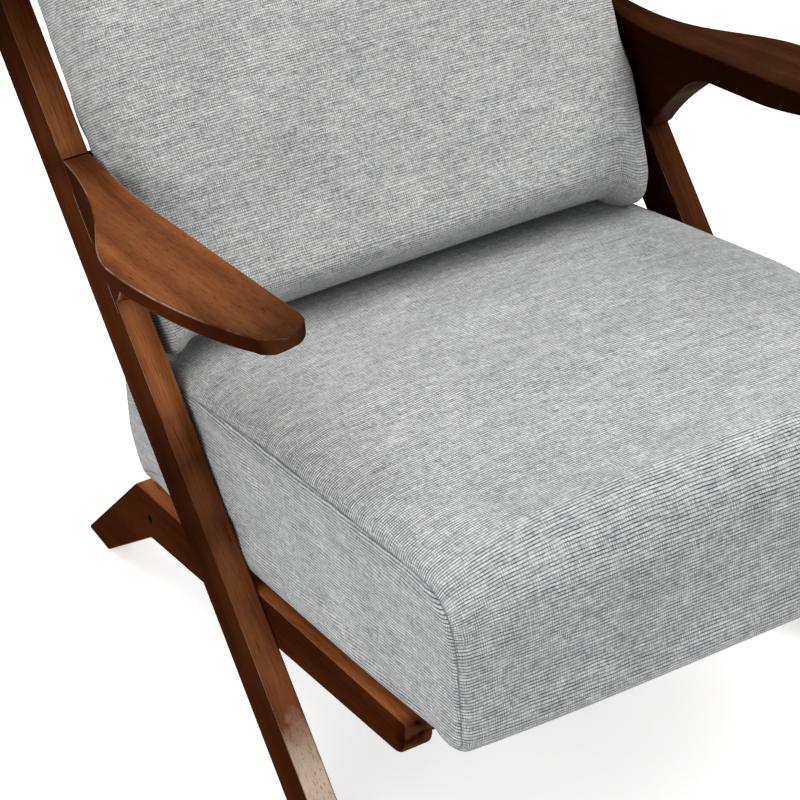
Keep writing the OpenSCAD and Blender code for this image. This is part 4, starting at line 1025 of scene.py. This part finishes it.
def build_zip(n):
    """The zip in the rear of the back cushion: two tapes, teeth with end stops, slider with tab.
    n: place of the tape's underside, square to the back."""
    mid = BACK_LOW + ZIP_UP
    half = ZIP_LEN / 2
    teeth_pitch, tooth, teeth_count = 2.0, 1.4, 157
    tape = [(-half, half, n, n + 0.7, mid + s * 1.2, mid + s * ZIP_W / 2) for s in (-1, 1)]
    done(blocks("zip_tape_strips", tape, 0.15), "zip_tape",
         plain("zip_cloth", (0.30, 0.30, 0.30), 0.85, 900.0, 0.0, 0.3, (1, 4, 4)),
         "back_cushion")
    teeth = []
    for k in range(teeth_count):
        x0 = -half + 3 + teeth_pitch * k
        v = mid + (0.7 if k % 2 else 0)
        teeth.append((x0, x0 + tooth, n + 0.2, n + 1.0, v - 2.6, v + 1.9))
    for s in (-1, 1):
        x0 = s * (half - 1.5)
        teeth.append((x0 - 1, x0 + 1, n + 0.1, n + 1.0, mid - 4, mid + 4))
    done(blocks("zip_teeth", teeth, 0.2), "zip_tape",
         plain("zip_nylon", (0.22, 0.22, 0.225), 0.45, 500.0), "back_cushion")
    x0, x1 = half - 18, half - 6
    n += 1.1
    slider = [(x0, x1, n, n + 0.7, mid - 4.5, mid + 4.5),
              (x0 + 1.5, x1 - 1.5, n + 0.6, n + 1.5, mid - 3.2, mid + 3.2),
              (x0 + 3, x1 - 3, n + 1.4, n + 2.1, mid - 1.2, mid + 1.2),
              (x0 + 3.5, x1 - 3.5, n + 2.0, n + 3.0, mid - 17, mid + 2)]
    done(blocks("zip_slider_pull_tab", slider, 0.3), "zip_slider",
         plain("nickel", (0.55, 0.55, 0.54), 0.32, 700.0, 1.0, 0.1), "zip_slider")


PLUG_DOME = ((4.5, -0.6), (4.5, 0.1), (4.2, 0.35), (3.2, 0.6), (1.8, 0.75))  # radius, height


def knee_plugs():
    """Plugs in the outer faces of the knees, slightly domed, near black as painted shade of the
    recess they sit in.
    """
    verts, faces = [], []
    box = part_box("knee_plugs")
    y, z = (box[0][1] + box[1][1]) / 2, (box[0][2] + box[1][2]) / 2
    count = 32
    for s in (-1, 1):
        rings = [[(s * (INNER_X + x) / 1000, y + r * cosd(g) / 1000, z + r * sind(g) / 1000)
                  for g in np.arange(count) * 360 / count] for r, x in PLUG_DOME]
        points, plug = loft(rings)
        faces += [tuple(len(verts) + i for i in f) for f in plug]
        verts += points
    o = mesh_object("knee_plug_caps", verts, faces)
    fix_normals(o)
    # Near black: painted shade of the recess
    done(o, "knee_plugs", plain("plug_shade", (0.006, 0.003, 0.002), 0.8, 500.0, gloss=0.01),
         "frame")


# Open places in the joint of the left arm's bracket, upper end to lower end as (y, z)
OPEN_JOINTS = (((188.0, 484.5), (156.6, 447.4)), ((133.5, 418.4), (115.6, 397.0)))
# Their form: share of the length, then of the width, pointed at both ends
SLIT_FORM = ((0.0, 0.5, 0.5), (0.12, 0.1, 0.9), (0.88, 0.1, 0.9), (1.0, 0.5, 0.5))


def open_glue_lines():
    """Two narrow places where the joint of the left arm's bracket stands open: a dark sheet of
    painted shade in the slit, with a pale strip of painted light beside it on the boards' outer
    face."""
    x = -(INNER_X + BOARD_T)
    # A sheet of painted shade in the slit and a strip of painted light beside it
    sets = (("slit", plain("slit_shade", (0.004, 0.003, 0.003), 0.9, 500.0, gloss=0.01), 0.0, 2.1),
            ("painted_light", plain("slit_painted_light", (0.42, 0.30, 0.22), 0.7, 500.0), 2.1, 2.8))
    for name, material, s0, s1 in sets:
        verts, faces = [], []
        for ends in OPEN_JOINTS:
            k = len(verts)
            upper, lower = (np.array(e) for e in ends)
            for out in (0.3, -0.12):
                for along, w0, w1 in SLIT_FORM:
                    for w in (w0, w1):
                        q = mix(upper, lower, along) + POST_OUT * -mix(s0, s1, w)
                        verts.append(((x + out) / 1000, q[0] / 1000, q[1] / 1000))
            for a in (k, k + 2, k + 4):
                faces += [(a, a + 1, a + 3, a + 2), (a + 8, a + 10, a + 11, a + 9),
                          (a, a + 2, a + 10, a + 8), (a + 1, a + 9, a + 11, a + 3)]
            faces += [(k, k + 8, k + 9, k + 1), (k + 6, k + 7, k + 15, k + 14)]
        o = mesh_object("bracket_joint_" + name, verts, faces, False)
        fix_normals(o)
        o.data.materials.append(material)
        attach(o, "frame")


build_zip(zip_n)
knee_plugs()
open_glue_lines()

# CAD pieces that stay, by the starts of their names: material, colour, roughness, grain, metal
STOCK = {
    ("arm_dowels", "cross_rail_dowels", "back_rail_dowels"):
        ("beech", (0.55, 0.40, 0.24), 0.6, 300.0, 0.0),
    ("frame_bolts", "threaded_inserts", "seat_screws"):
        ("zinc", (0.55, 0.56, 0.58), 0.35, 400.0, 1.0),
    ("foot_glides",): ("nylon", (0.02, 0.02, 0.02), 0.5, 500.0, 0.0),
    ("seat_frame", "seat_corner_blocks"): ("softwood", (0.58, 0.43, 0.26), 0.65, 60.0, 0.0),
    ("seat_strap",): ("webbing", (0.03, 0.03, 0.032), 0.85, 700.0, 0.0),
    ("dust_cover",): ("dust_cloth", (0.02, 0.02, 0.022), 0.9, 900.0, 0.0),
}
for starts, finish in STOCK.items():
    material = plain(*finish)
    for name, o in nodes.items():
        if name.startswith(starts):
            o.data.materials.clear()
            o.data.materials.append(material)

# Floor: pale, and lit up a little more for the camera alone
floor_mat, t, bsdf = new_material("floor")
t.fill(bsdf, Base_Color=(0.80, 0.80, 0.80, 1), Roughness=0.9, Specular_IOR_Level=0.1)
seen = t.add("ShaderNodeLightPath").outputs["Is Camera Ray"]
glow = t.fill(t.add("ShaderNodeEmission"), Strength=t.times(seen, 0.62))
surface = bsdf.outputs[0].links[0].to_socket
t.link(t.node("ShaderNodeAddShader", bsdf.outputs[0], glow.outputs[0]), surface)
floor = mesh_object("floor", [(-6, -6, 0), (6, -6, 0), (6, 8, 0), (-6, 8, 0)], [(0, 1, 2, 3)],
                    False)
floor.data.materials.append(floor_mat)

# Studio: dim in reflections, white behind the chair
world = bpy.data.worlds.new("studio")
scene.world = world
world.use_nodes = True
world.node_tree.nodes.clear()
t = Tree(world.node_tree)
seen = t.add("ShaderNodeLightPath").outputs
room = t.remap(seen["Is Glossy Ray"], 0.0, 1.0, 0.54, 0.15)
sky = t.fill(t.add("ShaderNodeBackground"), Color=(0.96, 0.98, 1, 1),
             Strength=t.total(room, t.times(seen["Is Camera Ray"], 0.52)))
t.link(sky.outputs[0], t.add("ShaderNodeOutputWorld").inputs[0])

LAMP_TARGET = (0, -0.1, 0.3)
WARM = (1.0, 0.985, 0.96)


def lamp(name, at, size, power, colour=(1, 1, 1)):
    data = bpy.data.lights.new(name, "AREA")
    data.shape = "RECTANGLE"
    data.size = data.size_y = size
    data.energy = power
    data.color = colour
    o = bpy.data.objects.new(name, data)
    scene.collection.objects.link(o)
    o.location = at
    o.rotation_euler = (Vector(LAMP_TARGET) - Vector(at)).to_track_quat("-Z", "Y").to_euler()


lamp("key", (-0.8, 0.1, 2.6), 1.5, 20)
lamp("left", (-2.6, -1.0, 1.3), 1.8, 19, WARM)
lamp("right", (1.7, -0.8, 2.2), 1.6, 37, WARM)

# Camera at the photograph's viewing angle
CAM_AT = (-0.9345, -1.7394, 1.5414)
az, el, roll = rad(-26.155), rad(32.801), rad(-4.832)
cam_back = Vector((math.sin(az) * math.cos(el), -math.cos(az) * math.cos(el), math.sin(el)))
right = Vector((math.cos(az), math.sin(az), 0))
up = cam_back.cross(right)
cam_x = right * math.cos(roll) + up * math.sin(roll)
cam_y = -right * math.sin(roll) + up * math.cos(roll)
cam = bpy.data.objects.new("camera", bpy.data.cameras.new("camera"))
scene.collection.objects.link(cam)
turned = Matrix((cam_x, cam_y, cam_back)).transposed().to_4x4()
cam.matrix_world = Matrix.Translation(CAM_AT) @ turned
cam.data.sensor_width = 36
cam.data.lens = 117.96
cam.data.clip_end = 50
scene.camera = cam
scene.view_settings.view_transform = "Standard"
